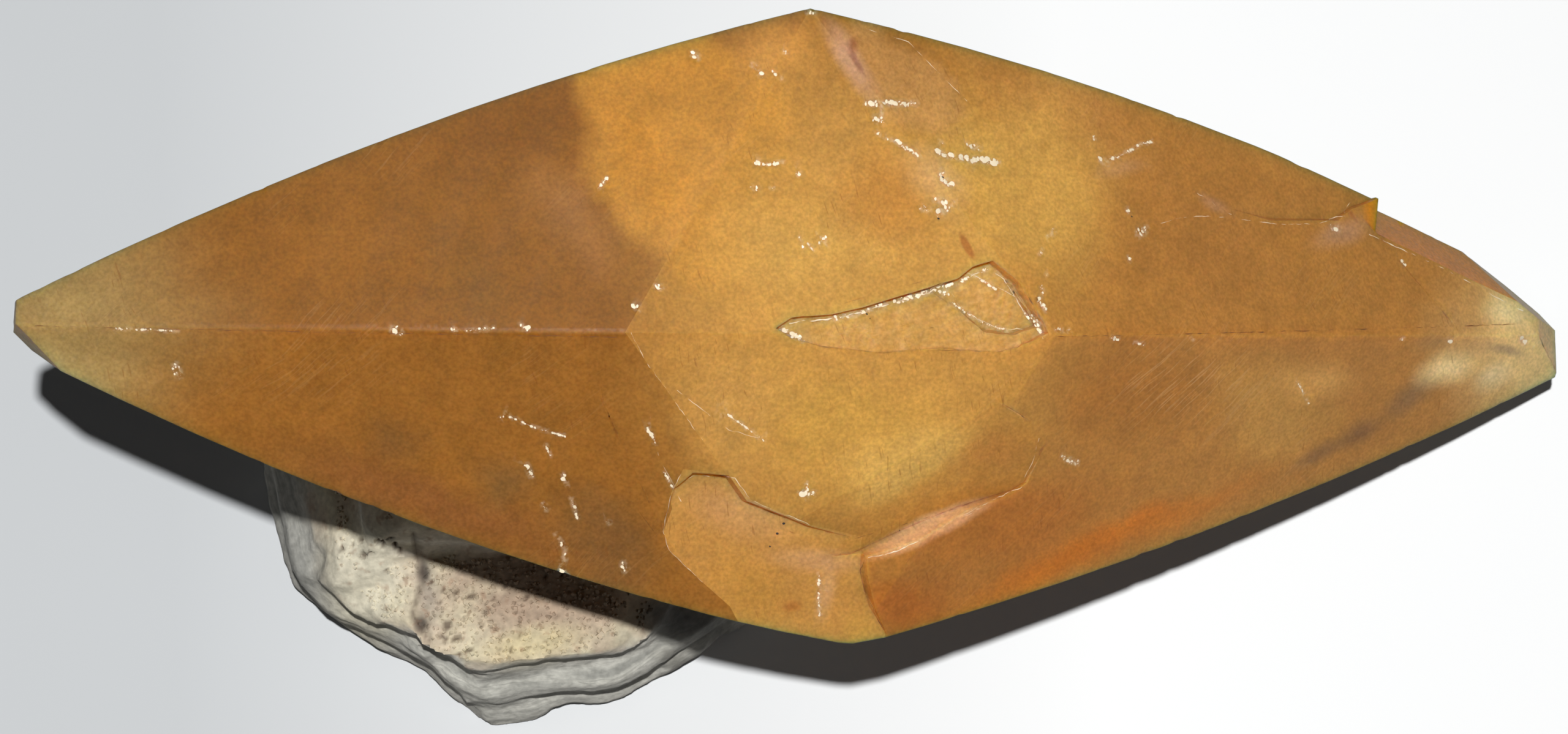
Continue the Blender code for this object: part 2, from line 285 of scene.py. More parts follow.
# %% Where the bruises are
BRUISES = {
    "upper_streak": (((-2.5, 15.7), (-1.4, 15.8), (1.3, 15.8)), 0.16, 0.26),
    "upper_spot": (((-1.9, 14.8), (-1.5, 14.5)), 0.22, 0.26),
    "upper_link": (((-1.4, 15.6), (-1.5, 14.4)), 0.05, 0.14),
    "slanting_streak": (((-1.9, 13.8), (-0.5, 13.2), (1.0, 12.3)), 0.08, 0.2),
    "long_streak": (((2.7, 12.5), (3.5, 12.2), (5.4, 12.0), (7.4, 11.8)), 0.15, 0.3),
    "above_streak": (((2.8, 13.2), (3.0, 13.1)), 0.12, 0.2),
    "above_streak_right": (((5.0, 13.0), (6.0, 12.8)), 0.16, 0.18),
    "ringed_spot": (((2.8, 11.2), (2.7, 10.9), (3.2, 10.4)), 0.22, 0.34),
    "white_cluster": (((1.2, 8.7), (1.6, 8.6)), 0.22, 0.3),
    "white_cluster_right": (((2.2, 9.3), (2.7, 9.1), (2.5, 8.3)), 0.24, 0.32),
    "cluster_tail": (((3.7, 9.2), (2.9, 8.5)), 0.04, 0.12),
    "chain_top": (((11.3, 7.2), (10.7, 6.7)), 0.16, 0.22),
    "chain_middle": (((10.1, 5.8), (9.9, 5.6)), 0.14, 0.2),
    "chain_low": (((10.3, 4.4), (10.2, 4.2)), 0.1, 0.2),
    "chain_foot": (((9.7, 3.4), (9.8, 2.9)), 0.1, 0.16),
    "right_spot": (((15.3, 13.6), (15.4, 13.5)), 0.08, 0.18),
    "comet": (((15.7, 12.0), (16.2, 11.8)), 0.2, 0.3),
    "comet_tail": (((16.2, 12.0), (17.4, 12.3), (19.2, 13.1), (20.3, 13.3)), 0.06, 0.14),
    "right_crumbs": (((18.2, 6.9), (18.9, 7.2)), 0.3, 0.24),
    "right_crumbs_top": (((17.5, 8.6), (17.6, 8.4)), 0.14, 0.2),
    "right_speck": (((17.1, 5.3), (17.2, 5.1)), 0.1, 0.18),
    "facet_corner": (((-19.2, 2.1), (-19.0, 1.9)), 0.16, 0.3),
    "facet_edge": (((-17.8, 3.4), (-17.4, 3.3)), 0.16, 0.18),
    "left_scrape": (((-17.8, -6.2), (-17.1, -7.3)), 0.06, 0.22),
    "thin_scrape": (((-12.7, -5.1), (-9.8, -7.1)), 0.02, 0.12),
    "curved_scrape": (((-27.4, -5.7), (-26.9, -5.5), (-25.1, -6.3), (-23.0, -6.9)), 0.02, 0.14),
    "short_scrape": (((-24.2, -7.5), (-23.8, -8.3)), 0.05, 0.2),
    "scrape_spot": (((-25.3, -8.9), (-24.9, -9.7)), 0.14, 0.22),
    "broken_scrape": (((-22.9, -9.5), (-22.5, -10.4)), 0.06, 0.22),
    "broken_scrape_low": (((-22.2, -11.2), (-21.6, -12.6)), 0.07, 0.22),
    "left_spot": (((-23.9, -11.7), (-23.7, -12.0)), 0.14, 0.24),
    "lower_branch": (((-22.9, -13.8), (-22.2, -14.8), (-22.2, -15.6)), 0.09, 0.32),
    "lower_branch_foot": (((-22.2, -15.5), (-22.4, -16.3), (-22.0, -16.6)), 0.2, 0.3),
    "low_specks": (((-19.7, -12.9), (-19.5, -12.9)), 0.12, 0.2),
    "low_specks_right": (((-18.3, -15.8), (-18.1, -16.3)), 0.2, 0.18),
    "line_scrape": (((-16.3, -9.3), (-15.6, -10.4)), 0.04, 0.18),
    "tip_specks": (((-47.8, -3.2), (-48.1, -2.5)), 0.24, 0.14),
    "high_specks": (((-14.2, 18.9), (-13.9, 18.7)), 0.18, 0.2),
    "high_specks_right": (((-10.3, 18.2), (-9.9, 17.6)), 0.18, 0.2),
    "high_link": (((-9.0, 17.8), (-8.4, 17.3)), 0.06, 0.18),
    "high_small": (((-8.2, 19.2), (-8.0, 19.1)), 0.08, 0.18),
    "left_streak": (((-21.0, 9.8), (-20.4, 10.5)), 0.04, 0.22),
    "fleck_row": (((-10.6, 11.7), (-9.8, 11.6), (-8.5, 11.7)), 0.08, 0.18),
    "fleck_pair": (((-10.9, 10.1), (-10.5, 9.9)), 0.1, 0.2),
    "fleck_pair_right": (((-9.5, 10.0), (-9.3, 10.0)), 0.08, 0.16),
    "fleck_high": (((-7.6, 10.9), (-7.4, 11.0)), 0.08, 0.16),
    "rays": (((-7.6, 6.7), (-7.4, 5.9)), 0.04, 0.16),
    "rays_right": (((-7.0, 6.3), (-6.7, 5.8)), 0.04, 0.16),
    "rays_far": (((-6.3, 6.3), (-5.8, 6.7)), 0.04, 0.16),
    "corner_chip": (((-6.4, 21.9), (-5.9, 21.9)), 0.14, 0.24),
    "star": (((-6.9, -10.7), (-5.9, -10.8)), 0.16, 0.28),
    "star_arm": (((-6.5, -10.1), (-6.4, -11.2)), 0.08, 0.24),
    "lobe_crack": (((-4.8, -16.6), (-4.7, -18.2), (-4.5, -19.5)), 0.05, 0.16),
    "lower_right_squiggle": (((12.5, -8.6), (13.2, -8.9), (13.9, -9.1)), 0.16, 0.2),
    "right_scrape": (((31.7, -3.6), (33.2, -5.4)), 0.02, 0.12),
    "notch_spot": (((35.3, 7.2), (35.9, 7.2)), 0.22, 0.3),
    "bevel_spot": (((41.5, 4.7), (41.8, 4.4)), 0.07, 0.2),
    "ridge_large": (((-34.7, 0.3), (-34.2, 0.1)), 0.22, 0.34),
    "ridge_second": (((-30.9, 0.4), (-30.6, 0.2)), 0.12, 0.22),
    "ridge_third": (((-26.6, 0.7), (-26.2, 0.4)), 0.14, 0.24),
    "ridge_row_left": (((-52.0, -0.1), (-50.4, -0.1), (-48.1, -0.1)), 0.06, 0.12),
    "ridge_row_middle": (((-30.0, 0.3), (-28.2, 0.5)), 0.05, 0.1),
    "ridge_after_chip": (((10.5, 0.5), (11.6, 0.4)), 0.1, 0.2),
    "ridge_slant": (((15.0, -0.1), (15.6, -0.3)), 0.08, 0.22),
    "ridge_slant_right": (((17.0, -0.5), (17.8, -0.7)), 0.07, 0.2),
    "ridge_far": (((21.7, -0.3), (22.0, -0.4)), 0.06, 0.16),
    "ridge_row_right": (((40.6, -0.8), (41.0, -0.8)), 0.08, 0.2),
    "ridge_row_end": (((45.2, -1.1), (45.6, -1.1)), 0.08, 0.2),
    "right_tip_crush": (((52.4, -1.1), (53.0, -1.4)), 0.22, 0.26),
    "chip_rim": (((-5.2, 1.2), (-3.2, 1.6), (-1.2, 2.2), (1.2, 2.9), (3.8, 3.6)), 0.16, 0.2),
    "chip_rim_right": (((3.8, 3.6), (5.0, 4.1), (6.2, 4.6)), 0.1, 0.16),
    "chip_start": (((-8.9, 0.6), (-8.2, 0.1), (-7.6, -0.2)), 0.16, 0.26),
    "chip_step": (((2.3, 3.4), (2.8, 2.9), (3.2, 2.9)), 0.12, 0.18),
    "chip_step_right": (((3.6, 2.2), (5.8, 0.8), (7.7, 0.3)), 0.05, 0.12),
    "chip_flap": (((5.0, 4.2), (6.6, 3.2)), 0.03, 0.2),
    "chip_corner": (((8.8, 1.6), (9.4, 0.9), (9.6, 0.2)), 0.1, 0.22),
    "chip_corner_top": (((9.3, 2.6), (9.8, 1.8)), 0.12, 0.18),
}
print(len(BRUISES), "bruises")

# %% [markdown]
# The crystal's copy gets short edges near the bruises and the chips, and longer ones elsewhere.
# All points are checked at once with numpy, which is much quicker than one by one. The values of
# a bruise reach a little further than its splinters do.

# %% Where the crystal's surface needs fine faces
EDGE_NEAR, EDGE_SEAM, EDGE_FAR = 0.4, 0.6, 1.6
REACH_SHARE, REACH_EXTRA = 1.3, 0.2
UNBRUISED = -9.0
CUT_MARGIN = 3.0
RIDGE_CHIP = (
    (-9.6, 0.6), (-8.2, 1.5), (-3.3, 2.1), (-0.4, 2.8), (3.4, 4.0), (4.6, 4.9), (6.0, 5.3), (7.9, 3.7),
    (10.0, 0.3), (7.9, -0.8), (6.3, -1.2), (2.3, -0.9), (-2.5, -1.2), (-6.6, -0.7),
)
HOLLOW = (
    (-9.0, -9.0), (-11.2, -10.6), (-11.6, -12.2), (-8.7, -13.7), (-3.7, -15.5), (-0.6, -14.5),
    (4.9, -12.2), (9.8, -10.5), (10.8, -8.5), (10.7, -6.4), (6.0, -4.0), (-3.0, -3.4),
)
LOBE_OUTLINE = (
    (-15.1, -9.1), (-12.0, -9.4), (-10.4, -11.2), (-6.0, -13.0), (-1.9, -14.0), (-1.9, -16.4),
    (-1.5, -17.8), (-0.8, -19.2), (0.1, -20.6), (1.5, -25.0), (-6.0, -27.0), (-10.9, -18.8),
    (-12.9, -17.1), (-15.4, -14.8), (-15.9, -13.5), (-15.4, -11.9), (-15.7, -10.8),
)
TIP_BREAK = ((53.2, 1.6), (53.4, -2.2), (56.0, -5.0), (60.0, -6.0), (60.0, 2.0))


def inside(outline, points):
    """True for each upper point whose (s, v) lies within a closed outline."""
    s, v = points[:, 0], points[:, 1]
    within = np.zeros(len(points), bool)
    for (s1, v1), (s2, v2) in zip(outline, outline[1:] + outline[:1]):
        if v1 != v2:
            within ^= ((v1 > v) != (v2 > v)) & (s < s1 + (v - v1) * (s2 - s1) / (v2 - v1))
    return within & (points[:, 2] > 0)


def path_distances(path, points):
    """How far each point lies from a path of straight stretches, seen from above."""
    places, nearest = points[:, :2], np.full(len(points), math.inf)
    for start, end in zip(np.array(path[:-1]), np.array(path[1:])):
        along = end - start
        share = np.clip((places - start) @ along / (along @ along), 0, 1)
        nearest = np.minimum(nearest, np.linalg.norm(places - start - share[:, None] * along, axis=1))
    return nearest


def bruise_at(points):
    """How bruised each point is: 1 in the middle, 0 at the rim, less than 0 outside."""
    strongest = np.full(len(points), UNBRUISED)
    for path, spread, _ in BRUISES.values():
        reach = REACH_SHARE * spread + REACH_EXTRA
        strongest = np.maximum(strongest, 1 - path_distances(path, points) / reach)
    return np.where(points[:, 2] > 0, strongest, UNBRUISED)


def crystal_edge_at(points):
    fine = (bruise_at(points) > -1) | inside(RIDGE_CHIP, points) | inside(HOLLOW, points)
    return np.where(fine, EDGE_NEAR, EDGE_FAR)


def cut_along(made, outline):
    """Cuts the faces near an outline from above along each of its sides, without moving them."""
    for (s1, v1), (s2, v2) in zip(outline, outline[1:] + outline[:1]):
        middle = Vector(((s1 + s2) / 2, (v1 + v2) / 2))
        reach = math.hypot(s2 - s1, v2 - v1) + CUT_MARGIN
        middles = {face: face.calc_center_median().to_2d() for face in made.faces}
        faces = [face for face, place in middles.items() if (place - middle).length < reach]
        around = {part for face in faces for part in (face, *face.edges, *face.verts)}
        plane = {"plane_co": (s1, v1, 0), "plane_no": (v2 - v1, s1 - s2, 0)}
        bmesh.ops.bisect_plane(made, geom=list(around), **plane)
    bmesh.ops.triangulate(made, faces=[face for face in made.faces if len(face.verts) > 3])


crystal_mesh = merged_copy("calcite_crystal", TO_CRYSTAL)
refine(crystal_mesh, crystal_edge_at, EDGE_SEAM)
cut_along(crystal_mesh, LOBE_OUTLINE)
print("crystal:", len(crystal_mesh.faces), "triangles")

# %% [markdown]
# The finish differs from face to face. The folded facets that cut off the girdle's blunt corners are
# paler, and fresh breaks are paler still and slightly pink. The hollow's steep walls are marked as breaks
# too: they are fresh breaks, and their pale colour is partly painted light, because they face the lamp.
# Faces that meet without a seam form one region, and a region is a facet or a break when most of its area
# lies in that outline, so the change of colour follows the true edge exactly. The lobe below the hollow
# has no seam on its left, so the mesh was cut along its outline, and it is marked face by face.

# %% Which faces are facets and which are breaks
CAP_LEFT, CAP_RIGHT, GIRDLE, GIRDLE_HALF_WIDTH = -20.0, 10.5, -4.3, 22.0
OUTLINES = {
    "chip": RIDGE_CHIP,
    "hollow": HOLLOW,
    "tip": TIP_BREAK,
    "bevel": ((37.0, 7.3), (53.0, 1.0), (56.0, -2.0), (54.0, 6.0), (40.0, 16.0), (37.0, 12.0)),
    "facet": (
        (CAP_LEFT, 0.0), (GIRDLE, GIRDLE_HALF_WIDTH), (CAP_RIGHT, 0.0), (GIRDLE, -GIRDLE_HALF_WIDTH)
    ),
}
MOST, STEEP = 0.6, 0.72


def mark_regions(made):
    for name in ("break", "lobe", "bevel", "girdle_facet"):
        made.faces.layers.float.new(name)
    layers = made.faces.layers.float
    for group in regions(made):
        middles = np.array([face.calc_center_median()[:] for face in group])
        areas = np.array([face.calc_area() for face in group])
        upward = sum(face.normal.z * area for face, area in zip(group, areas)) / areas.sum()
        within = {
            name: (areas * inside(outline, middles)).sum() / areas.sum() > MOST
            for name, outline in OUTLINES.items()
        }
        middle = (middles * areas[:, None]).sum(axis=0) / areas.sum()
        # The hollow's steep walls face the lamp. Marking them as breaks paints them pale: partly fresh
        # break, partly painted light.
        lit_hollow_wall = within["hollow"] and upward < STEEP
        lower_right = middle[0] > 0 and middle[1] < -10
        for face, on_lobe in zip(group, inside(LOBE_OUTLINE, middles)):
            face[layers["break"]] = float(within["chip"] or within["tip"] or lit_hollow_wall)
            face[layers["lobe"]] = float(on_lobe)
            face[layers["bevel"]] = float(within["bevel"])
            face[layers["girdle_facet"]] = float(within["facet"] and not lower_right)


mark_regions(crystal_mesh)
for name, layer in crystal_mesh.faces.layers.float.items():
    print(name, "faces:", sum(face[layer] > 0 for face in crystal_mesh.faces))

# %% [markdown]
# Now the surface is moved by hundredths of a millimetre. Growth leaves faint swells along the
# crystal, knocks nick its outer edges, broken surfaces ripple like glass, and each bruise is a
# shallow dent. Everything moves inwards from the flat CAD face, so the size stays true. A break's
# rim stays where it is, or it would turn into a groove. How bruised a point is, is kept as a
# value for the finish.

# %% Move the surface
SWELL_DEPTH, SWELL_SIZE = 0.05, (16.0, 3.2, 3.2)
NICK_DEPTH, NICK_SIZE, NICK_LEVEL = 0.25, 1.3, 0.28
RIPPLE_DEPTH, RIPPLE_LENGTH = 0.11, 1.1
RIPPLE_START = Vector((10.5, -1.0))
BEND, BEND_SIZE, GRIT_SIZE = 1.5, 2.5, 0.7
DENT_DEPTH, CRUSH_SIZE = 0.1, 0.35
OUTER_EDGE_ANGLE, SHADED_SHARP = math.radians(24), math.radians(13)


def surface_depth(co, broken, on_edge, bruise):
    """How far the surface lies below the flat CAD face, in mm."""
    swell = Vector(c / size for c, size in zip(co, SWELL_SIZE))
    depth = SWELL_DEPTH * (0.5 + 0.5 * noise.noise(swell))
    if broken:
        rings = (co.to_2d() - RIPPLE_START).length / RIPPLE_LENGTH
        rings += BEND * noise.noise(co / BEND_SIZE)
        rough = 0.3 * math.sin(2 * math.pi * rings) + 0.7 * noise.noise(co / GRIT_SIZE)
        depth += RIPPLE_DEPTH * (0.5 + rough)
    if on_edge:
        depth += NICK_DEPTH * max(0.0, noise.noise(co / NICK_SIZE) - NICK_LEVEL)
    return depth + DENT_DEPTH * bruise * (0.6 + 0.8 * noise.noise(co / CRUSH_SIZE))


def shape_crystal(made):
    bruised = made.verts.layers.float.new("bruise")
    broken = made.faces.layers.float["break"]
    bruises = np.maximum(0, bruise_at(np.array([vertex.co[:] for vertex in made.verts])))
    shifts = []
    for vertex, bruise in zip(made.verts, bruises):
        seams = [edge for edge in vertex.link_edges if edge.seam]
        angle = max((edge.calc_face_angle(0.0) for edge in seams), default=0.0)
        in_break = all(face[broken] > 0 for face in vertex.link_faces)
        vertex[bruised] = bruise
        depth = surface_depth(vertex.co, in_break, angle > OUTER_EDGE_ANGLE, bruise)
        shifts.append(vertex.normal * depth)
    for vertex, shift in zip(made.verts, shifts):
        vertex.co -= shift


shape_crystal(crystal_mesh)
crystal = mesh_object(crystal_mesh, "calcite")
crystal.data.shade_smooth()
crystal.data.set_sharp_from_angle(angle=SHADED_SHARP)
print("crystal:", len(crystal.data.vertices), "points")

# %% [markdown]
# Splinters and fine lines both lie on the crystal along paths. Each path becomes a line of a
# guide mesh high above the crystal, and carries two values: how far its marks stray and how
# large they are. A Geometry Nodes tree then drops points of the line straight down onto the
# surface with a ray. That follows every facet and dent without measuring any height by hand.
# Realize Instances ends each tree, so the result is plain mesh.

# %% Guide lines, rays and trees
GUIDE_HEIGHT = 40.0


def guide_lines(paths, name):
    made = bmesh.new()
    spreads = made.verts.layers.float.new("spread")
    sizes = made.verts.layers.float.new("size")
    for path, spread, size in paths:
        line = [made.verts.new((s, v, GUIDE_HEIGHT)) for s, v in path]
        for vertex in line:
            vertex[spreads] = spread
            vertex[sizes] = size
        for start, end in zip(line, line[1:]):
            made.edges.new((start, end))
    return mesh_object(made, name)


def new_tree(name, inputs):
    """A Geometry Nodes tree, the identifiers of its number inputs, and its input node."""
    tree = bpy.data.node_groups.new(name, "GeometryNodeTree")
    tree.interface.new_socket("Geometry", in_out="INPUT", socket_type="NodeSocketGeometry")
    tree.interface.new_socket("Geometry", in_out="OUTPUT", socket_type="NodeSocketGeometry")
    identifiers = {}
    for label, kind in inputs.items():
        socket = tree.interface.new_socket(label, in_out="INPUT", socket_type=kind)
        identifiers[label] = socket.identifier
    return tree, identifiers, tree.nodes.new("NodeGroupInput")


def spaced_lines(tree, start):
    """The guide lines as curves, with a point at every step of the tree's spacing."""
    lines = add(tree, "GeometryNodeMeshToCurve", {0: start.outputs["Geometry"]})
    spaced = {"Curve": lines, "Length": start.outputs["Spacing"]}
    return add(tree, "GeometryNodeResampleCurve", spaced, mode="LENGTH")


def ray_down(tree, target):
    """A ray from each point straight down onto the target object."""
    body = add(tree, "GeometryNodeObjectInfo", {"Object": target}, output="Geometry")
    ray = tree.nodes.new("GeometryNodeRaycast")
    tree.links.new(body, ray.inputs["Target Geometry"])
    ray.inputs["Ray Direction"].default_value = (0, 0, -1)
    ray.inputs["Ray Length"].default_value = 2 * GUIDE_HEIGHT
    return ray.outputs


def finish_tree(tree, placed, material):
    real = add(tree, "GeometryNodeRealizeInstances", {"Geometry": placed})
    finished = add(tree, "GeometryNodeSetMaterial", {"Geometry": real, "Material": material})
    tree.links.new(finished, tree.nodes.new("NodeGroupOutput").inputs[0])


def evaluated_piece(guide, tree, values, name):
    """Runs a node tree on a guide object and returns the result as a plain mesh object."""
    modifier = guide.modifiers.new(tree.name, "NODES")
    modifier.node_group = tree
    for identifier, value in values.items():
        modifier[identifier] = value
    graph = bpy.context.evaluated_depsgraph_get()
    mesh = bpy.data.meshes.new_from_object(guide.evaluated_get(graph))
    guide.modifiers.remove(modifier)
    bpy.data.objects.remove(guide)
    mesh.name = name
    item = bpy.data.objects.new(name, mesh)
    bpy.context.collection.objects.link(item)
    return item


print("rays reach", 2 * GUIDE_HEIGHT, "mm down")

# %% [markdown]
# A bruise is a crowd of flat splinters. They are scattered sideways from its path, lie along the
# face they land on and are turned at random. Points where a noise is low are dropped, which
# leaves uneven gaps. Most splinters are tiny and a few are large, so the random share that sets
# their length is cubed. An icosphere has just twenty faces, which is enough at this size.

# %% Bruise splinters
SPLINTER_SPACING, SPLINTER_THICKNESS = 0.05, 0.12
GAP_SIZE, GAP_LEVEL = 0.55, 0.44
SHORTEST, LONGER_BY, RARITY = 0.26, 2.0, 3.0
NARROWEST, WIDEST = 0.25, 0.8


def random_size(tree, size, thickness, seed):
    """Length, width and thickness of a splinter, all in shares of its bruise's own size."""
    share = add(tree, "FunctionNodeRandomValue", {2: 0.0, 3: 1.0, "Seed": seed}, output=1)
    rare = add(tree, "ShaderNodeMath", {0: share, 1: RARITY}, operation="POWER")
    length = {0: rare, 1: LONGER_BY, 2: SHORTEST}
    length = add(tree, "ShaderNodeMath", length, operation="MULTIPLY_ADD")
    width = {2: NARROWEST, 3: WIDEST, "Seed": seed}
    width = add(tree, "FunctionNodeRandomValue", width, output=1)
    width = add(tree, "ShaderNodeMath", {0: width, 1: length}, operation="MULTIPLY")
    shape = add(tree, "ShaderNodeCombineXYZ", {"X": length, "Y": width, "Z": thickness})
    return add(tree, "ShaderNodeVectorMath", {0: shape, "Scale": size}, operation="SCALE")


def splinter_tree(target, material):
    numbers = dict.fromkeys(("Spacing", "Thickness", "Gaps"), "NodeSocketFloat")
    tree, identifiers, start = new_tree("bruise_splinters", numbers | {"Seed": "NodeSocketInt"})
    points = {"Curve": spaced_lines(tree, start)}
    points = add(tree, "GeometryNodeCurveToPoints", points, mode="EVALUATED")
    spread = add(tree, "GeometryNodeInputNamedAttribute", {"Name": "spread"}, data_type="FLOAT")
    size = add(tree, "GeometryNodeInputNamedAttribute", {"Name": "size"}, data_type="FLOAT")
    seed = start.outputs["Seed"]
    sideways = {0: (-1, -1, 0), 1: (1, 1, 0), "Seed": seed}
    sideways = add(tree, "FunctionNodeRandomValue", sideways, data_type="FLOAT_VECTOR")
    offset = add(tree, "ShaderNodeVectorMath", {0: sideways, "Scale": spread}, operation="SCALE")
    scattered = add(tree, "GeometryNodeSetPosition", {"Geometry": points, "Offset": offset})

    ray = ray_down(tree, target)
    missed = add(tree, "FunctionNodeBooleanMath", {0: ray["Is Hit"]}, operation="NOT")
    facing = {"Geometry": scattered, "Name": "facing", "Value": ray["Hit Normal"]}
    landing = add(tree, "GeometryNodeStoreNamedAttribute", facing, data_type="FLOAT_VECTOR")
    gaps = add(tree, "ShaderNodeTexNoise", {"Scale": 1 / GAP_SIZE, "Detail": 1.0})
    gaps = {0: gaps, 1: start.outputs["Gaps"]}
    gaps = add(tree, "FunctionNodeCompare", gaps, operation="LESS_THAN")
    dropped = add(tree, "FunctionNodeBooleanMath", {0: missed, 1: gaps}, operation="OR")
    dropped = {"Geometry": landing, "Selection": dropped}
    landing = add(tree, "GeometryNodeDeleteGeometry", dropped, domain="POINT")
    landing = {"Geometry": landing, "Position": ray["Hit Position"]}
    landing = add(tree, "GeometryNodeSetPosition", landing)

    facing = {"Name": "facing"}
    facing = add(tree, "GeometryNodeInputNamedAttribute", facing, data_type="FLOAT_VECTOR")
    lying = add(tree, "FunctionNodeAlignEulerToVector", {"Vector": facing}, axis="Z")
    spin = {2: -math.pi, 3: math.pi, "Seed": seed}
    spin = add(tree, "FunctionNodeRandomValue", spin, output=1)
    turned = {"Rotation": lying, "Axis": (0, 0, 1), "Angle": spin}
    turned = add(tree, "FunctionNodeRotateEuler", turned, rotation_type="AXIS_ANGLE", space="LOCAL")
    scale = random_size(tree, size, start.outputs["Thickness"], seed)
    splinter = add(tree, "GeometryNodeMeshIcoSphere", {"Radius": 0.5, "Subdivisions": 1})
    placed = {"Points": landing, "Instance": splinter, "Rotation": turned, "Scale": scale}
    finish_tree(tree, add(tree, "GeometryNodeInstanceOnPoints", placed), material)
    return tree, identifiers


# Crushed calcite: nearly white, because it throws light back before that turns honey-coloured.
crushed, tree, shader = new_material("crushed_calcite")
shader.inputs["Base Color"].default_value = colour("#ecdcbc")
shader.inputs["Roughness"].default_value = 0.45
shader.inputs["IOR"].default_value = 1.6

tree, sockets = splinter_tree(crystal, crushed)
settings = {
    "Spacing": SPLINTER_SPACING, "Thickness": SPLINTER_THICKNESS, "Gaps": GAP_LEVEL, "Seed": 7
}
splinters = evaluated_piece(
    guide_lines(BRUISES.values(), "bruise_guides"),
    tree,
    {sockets[label]: value for label, value in settings.items()},
    "bruise_splinters",
)
print("splinters:", len(splinters.data.polygons), "faces")

# %% [markdown]
# A few black specks, smaller than a poppy seed, sit in the surface too. They are grains of a
# dark ore mineral. The splinter tree makes them as well: each path is so short that it carries
# one rounder, thicker grain, and no gaps are cut.

# %% Ore specks
SPECK_SIZE, SPECK_THICKNESS = 0.11, 0.4
SPECKS = (
    (2.8, 10.8), (2.3, 8.0), (17.8, 8.1), (-8.0, -13.7), (-8.4, -14.6), (-9.8, -13.5),
    (-3.4, -15.2), (0.8, -13.6), (0.3, -14.0), (-2.8, 1.5), (-2.6, 1.2), (-7.6, -13.0),
)

# A dark ore mineral with a faint sheen: it reads as a small black dot.
ore, tree, shader = new_material("dark_ore_grains")
shader.inputs["Base Color"].default_value = colour("#2a211b")
shader.inputs["Roughness"].default_value = 0.5

tree, sockets = splinter_tree(crystal, ore)
settings = {"Spacing": 0.1, "Thickness": SPECK_THICKNESS, "Gaps": 0.0, "Seed": 3}
specks = evaluated_piece(
    guide_lines([(((s, v), (s + 0.05, v)), 0.0, SPECK_SIZE) for s, v in SPECKS], "speck_guides"),
    tree,
    {sockets[label]: value for label, value in settings.items()},
    "ore_specks",
)
print("specks:", len(specks.data.polygons), "faces")

# %% [markdown]
# Thin lines run over the crystal: pale ones along the rims of the breaks and a few healed cracks, and dark
# ones along the ridge, the chip's foot and the lobe's right edge, and in the crease at the foot of the
# hollow's wall, where the dark line is painted shade. Each is a thread of irregular thickness with gaps,
# half sunken in the surface. A second tree lets a guide line tremble sideways, lays it onto the crystal
# with the same rays, and draws a small five-sided section along it.

# %% Where the lines run
PALE_LINES = {
    # name: (path, how far it trembles, radius)
    "fold_left": (((-19.6, 0.3), (-18.5, -1.5), (-17.3, -3.0), (-15.7, -5.0), (-14.1, -7.0)), 0.1, 0.04),
    "fold_left_inner": (((-16.1, -3.6), (-14.2, -5.0), (-12.2, -6.4), (-9.8, -7.0)), 0.06, 0.03),
    "scrape_left": (((-17.6, -6.4), (-16.6, -8.6), (-14.8, -11.4)), 0.03, 0.03),
    "hollow_rim_left": (
        ((-15.4, -10.4), (-14.1, -9.6), (-11.6, -9.7), (-10.4, -11.2), (-6.0, -13.0)), 0.1, 0.04
    ),
    "hollow_rim_right": (
        ((-1.8, -15.4), (0.2, -15.0), (2.5, -14.0), (4.2, -13.0), (7.3, -11.7)), 0.1, 0.08
    ),
    "hollow_rim_thin": (
        ((4.3, -12.9), (7.3, -11.5), (9.5, -10.7), (10.2, -8.8), (10.3, -7.2)), 0.06, 0.035
    ),
    "lobe_left": (
        ((-15.1, -9.1), (-15.7, -10.8), (-15.9, -13.5), (-15.4, -14.8), (-12.9, -17.1)), 0.05, 0.035
    ),
    "chip_rim": (
        ((-8.4, 0.8), (-7.6, 1.0), (-5.0, 1.2), (-3.0, 1.7), (-0.7, 2.3), (1.5, 2.9)), 0.1, 0.1
    ),
    "chip_rim_right": (((1.5, 2.9), (3.8, 3.5), (5.0, 4.1), (6.3, 4.6)), 0.08, 0.08),
    "chip_end": (
        ((5.6, 5.1), (7.3, 3.8), (8.2, 2.4), (8.7, 1.6), (9.2, 0.8), (9.5, -0.1)), 0.1, 0.05
    ),
    "flap": (((3.1, 3.5), (4.0, 2.1), (5.4, 1.1), (6.8, 0.5), (8.5, 0.4)), 0.12, 0.045),
    "flap_top": (((4.2, 4.5), (6.2, 3.6), (8.2, 2.6)), 0.06, 0.035),
    "flake_edge": (
        (
            (20.0, 7.6), (21.9, 8.0), (24.2, 8.1), (26.7, 7.9),
            (30.3, 7.5), (34.1, 7.5), (36.5, 8.0), (37.6, 9.0),
        ),
        0.05,
        0.04,
    ),
    "flake_start": (((23.6, 9.7), (24.5, 9.3), (25.3, 8.6), (26.4, 8.2)), 0.08, 0.04),
    "bevel_edge": (((38.7, 6.7), (41.0, 5.8), (45.6, 4.1), (49.8, 2.2), (52.8, 0.9)), 0.05, 0.06),
    "veil_edge": (((-2.3, 20.9), (1.1, 20.0), (3.8, 17.4), (5.3, 16.0)), 0.04, 0.03),
}
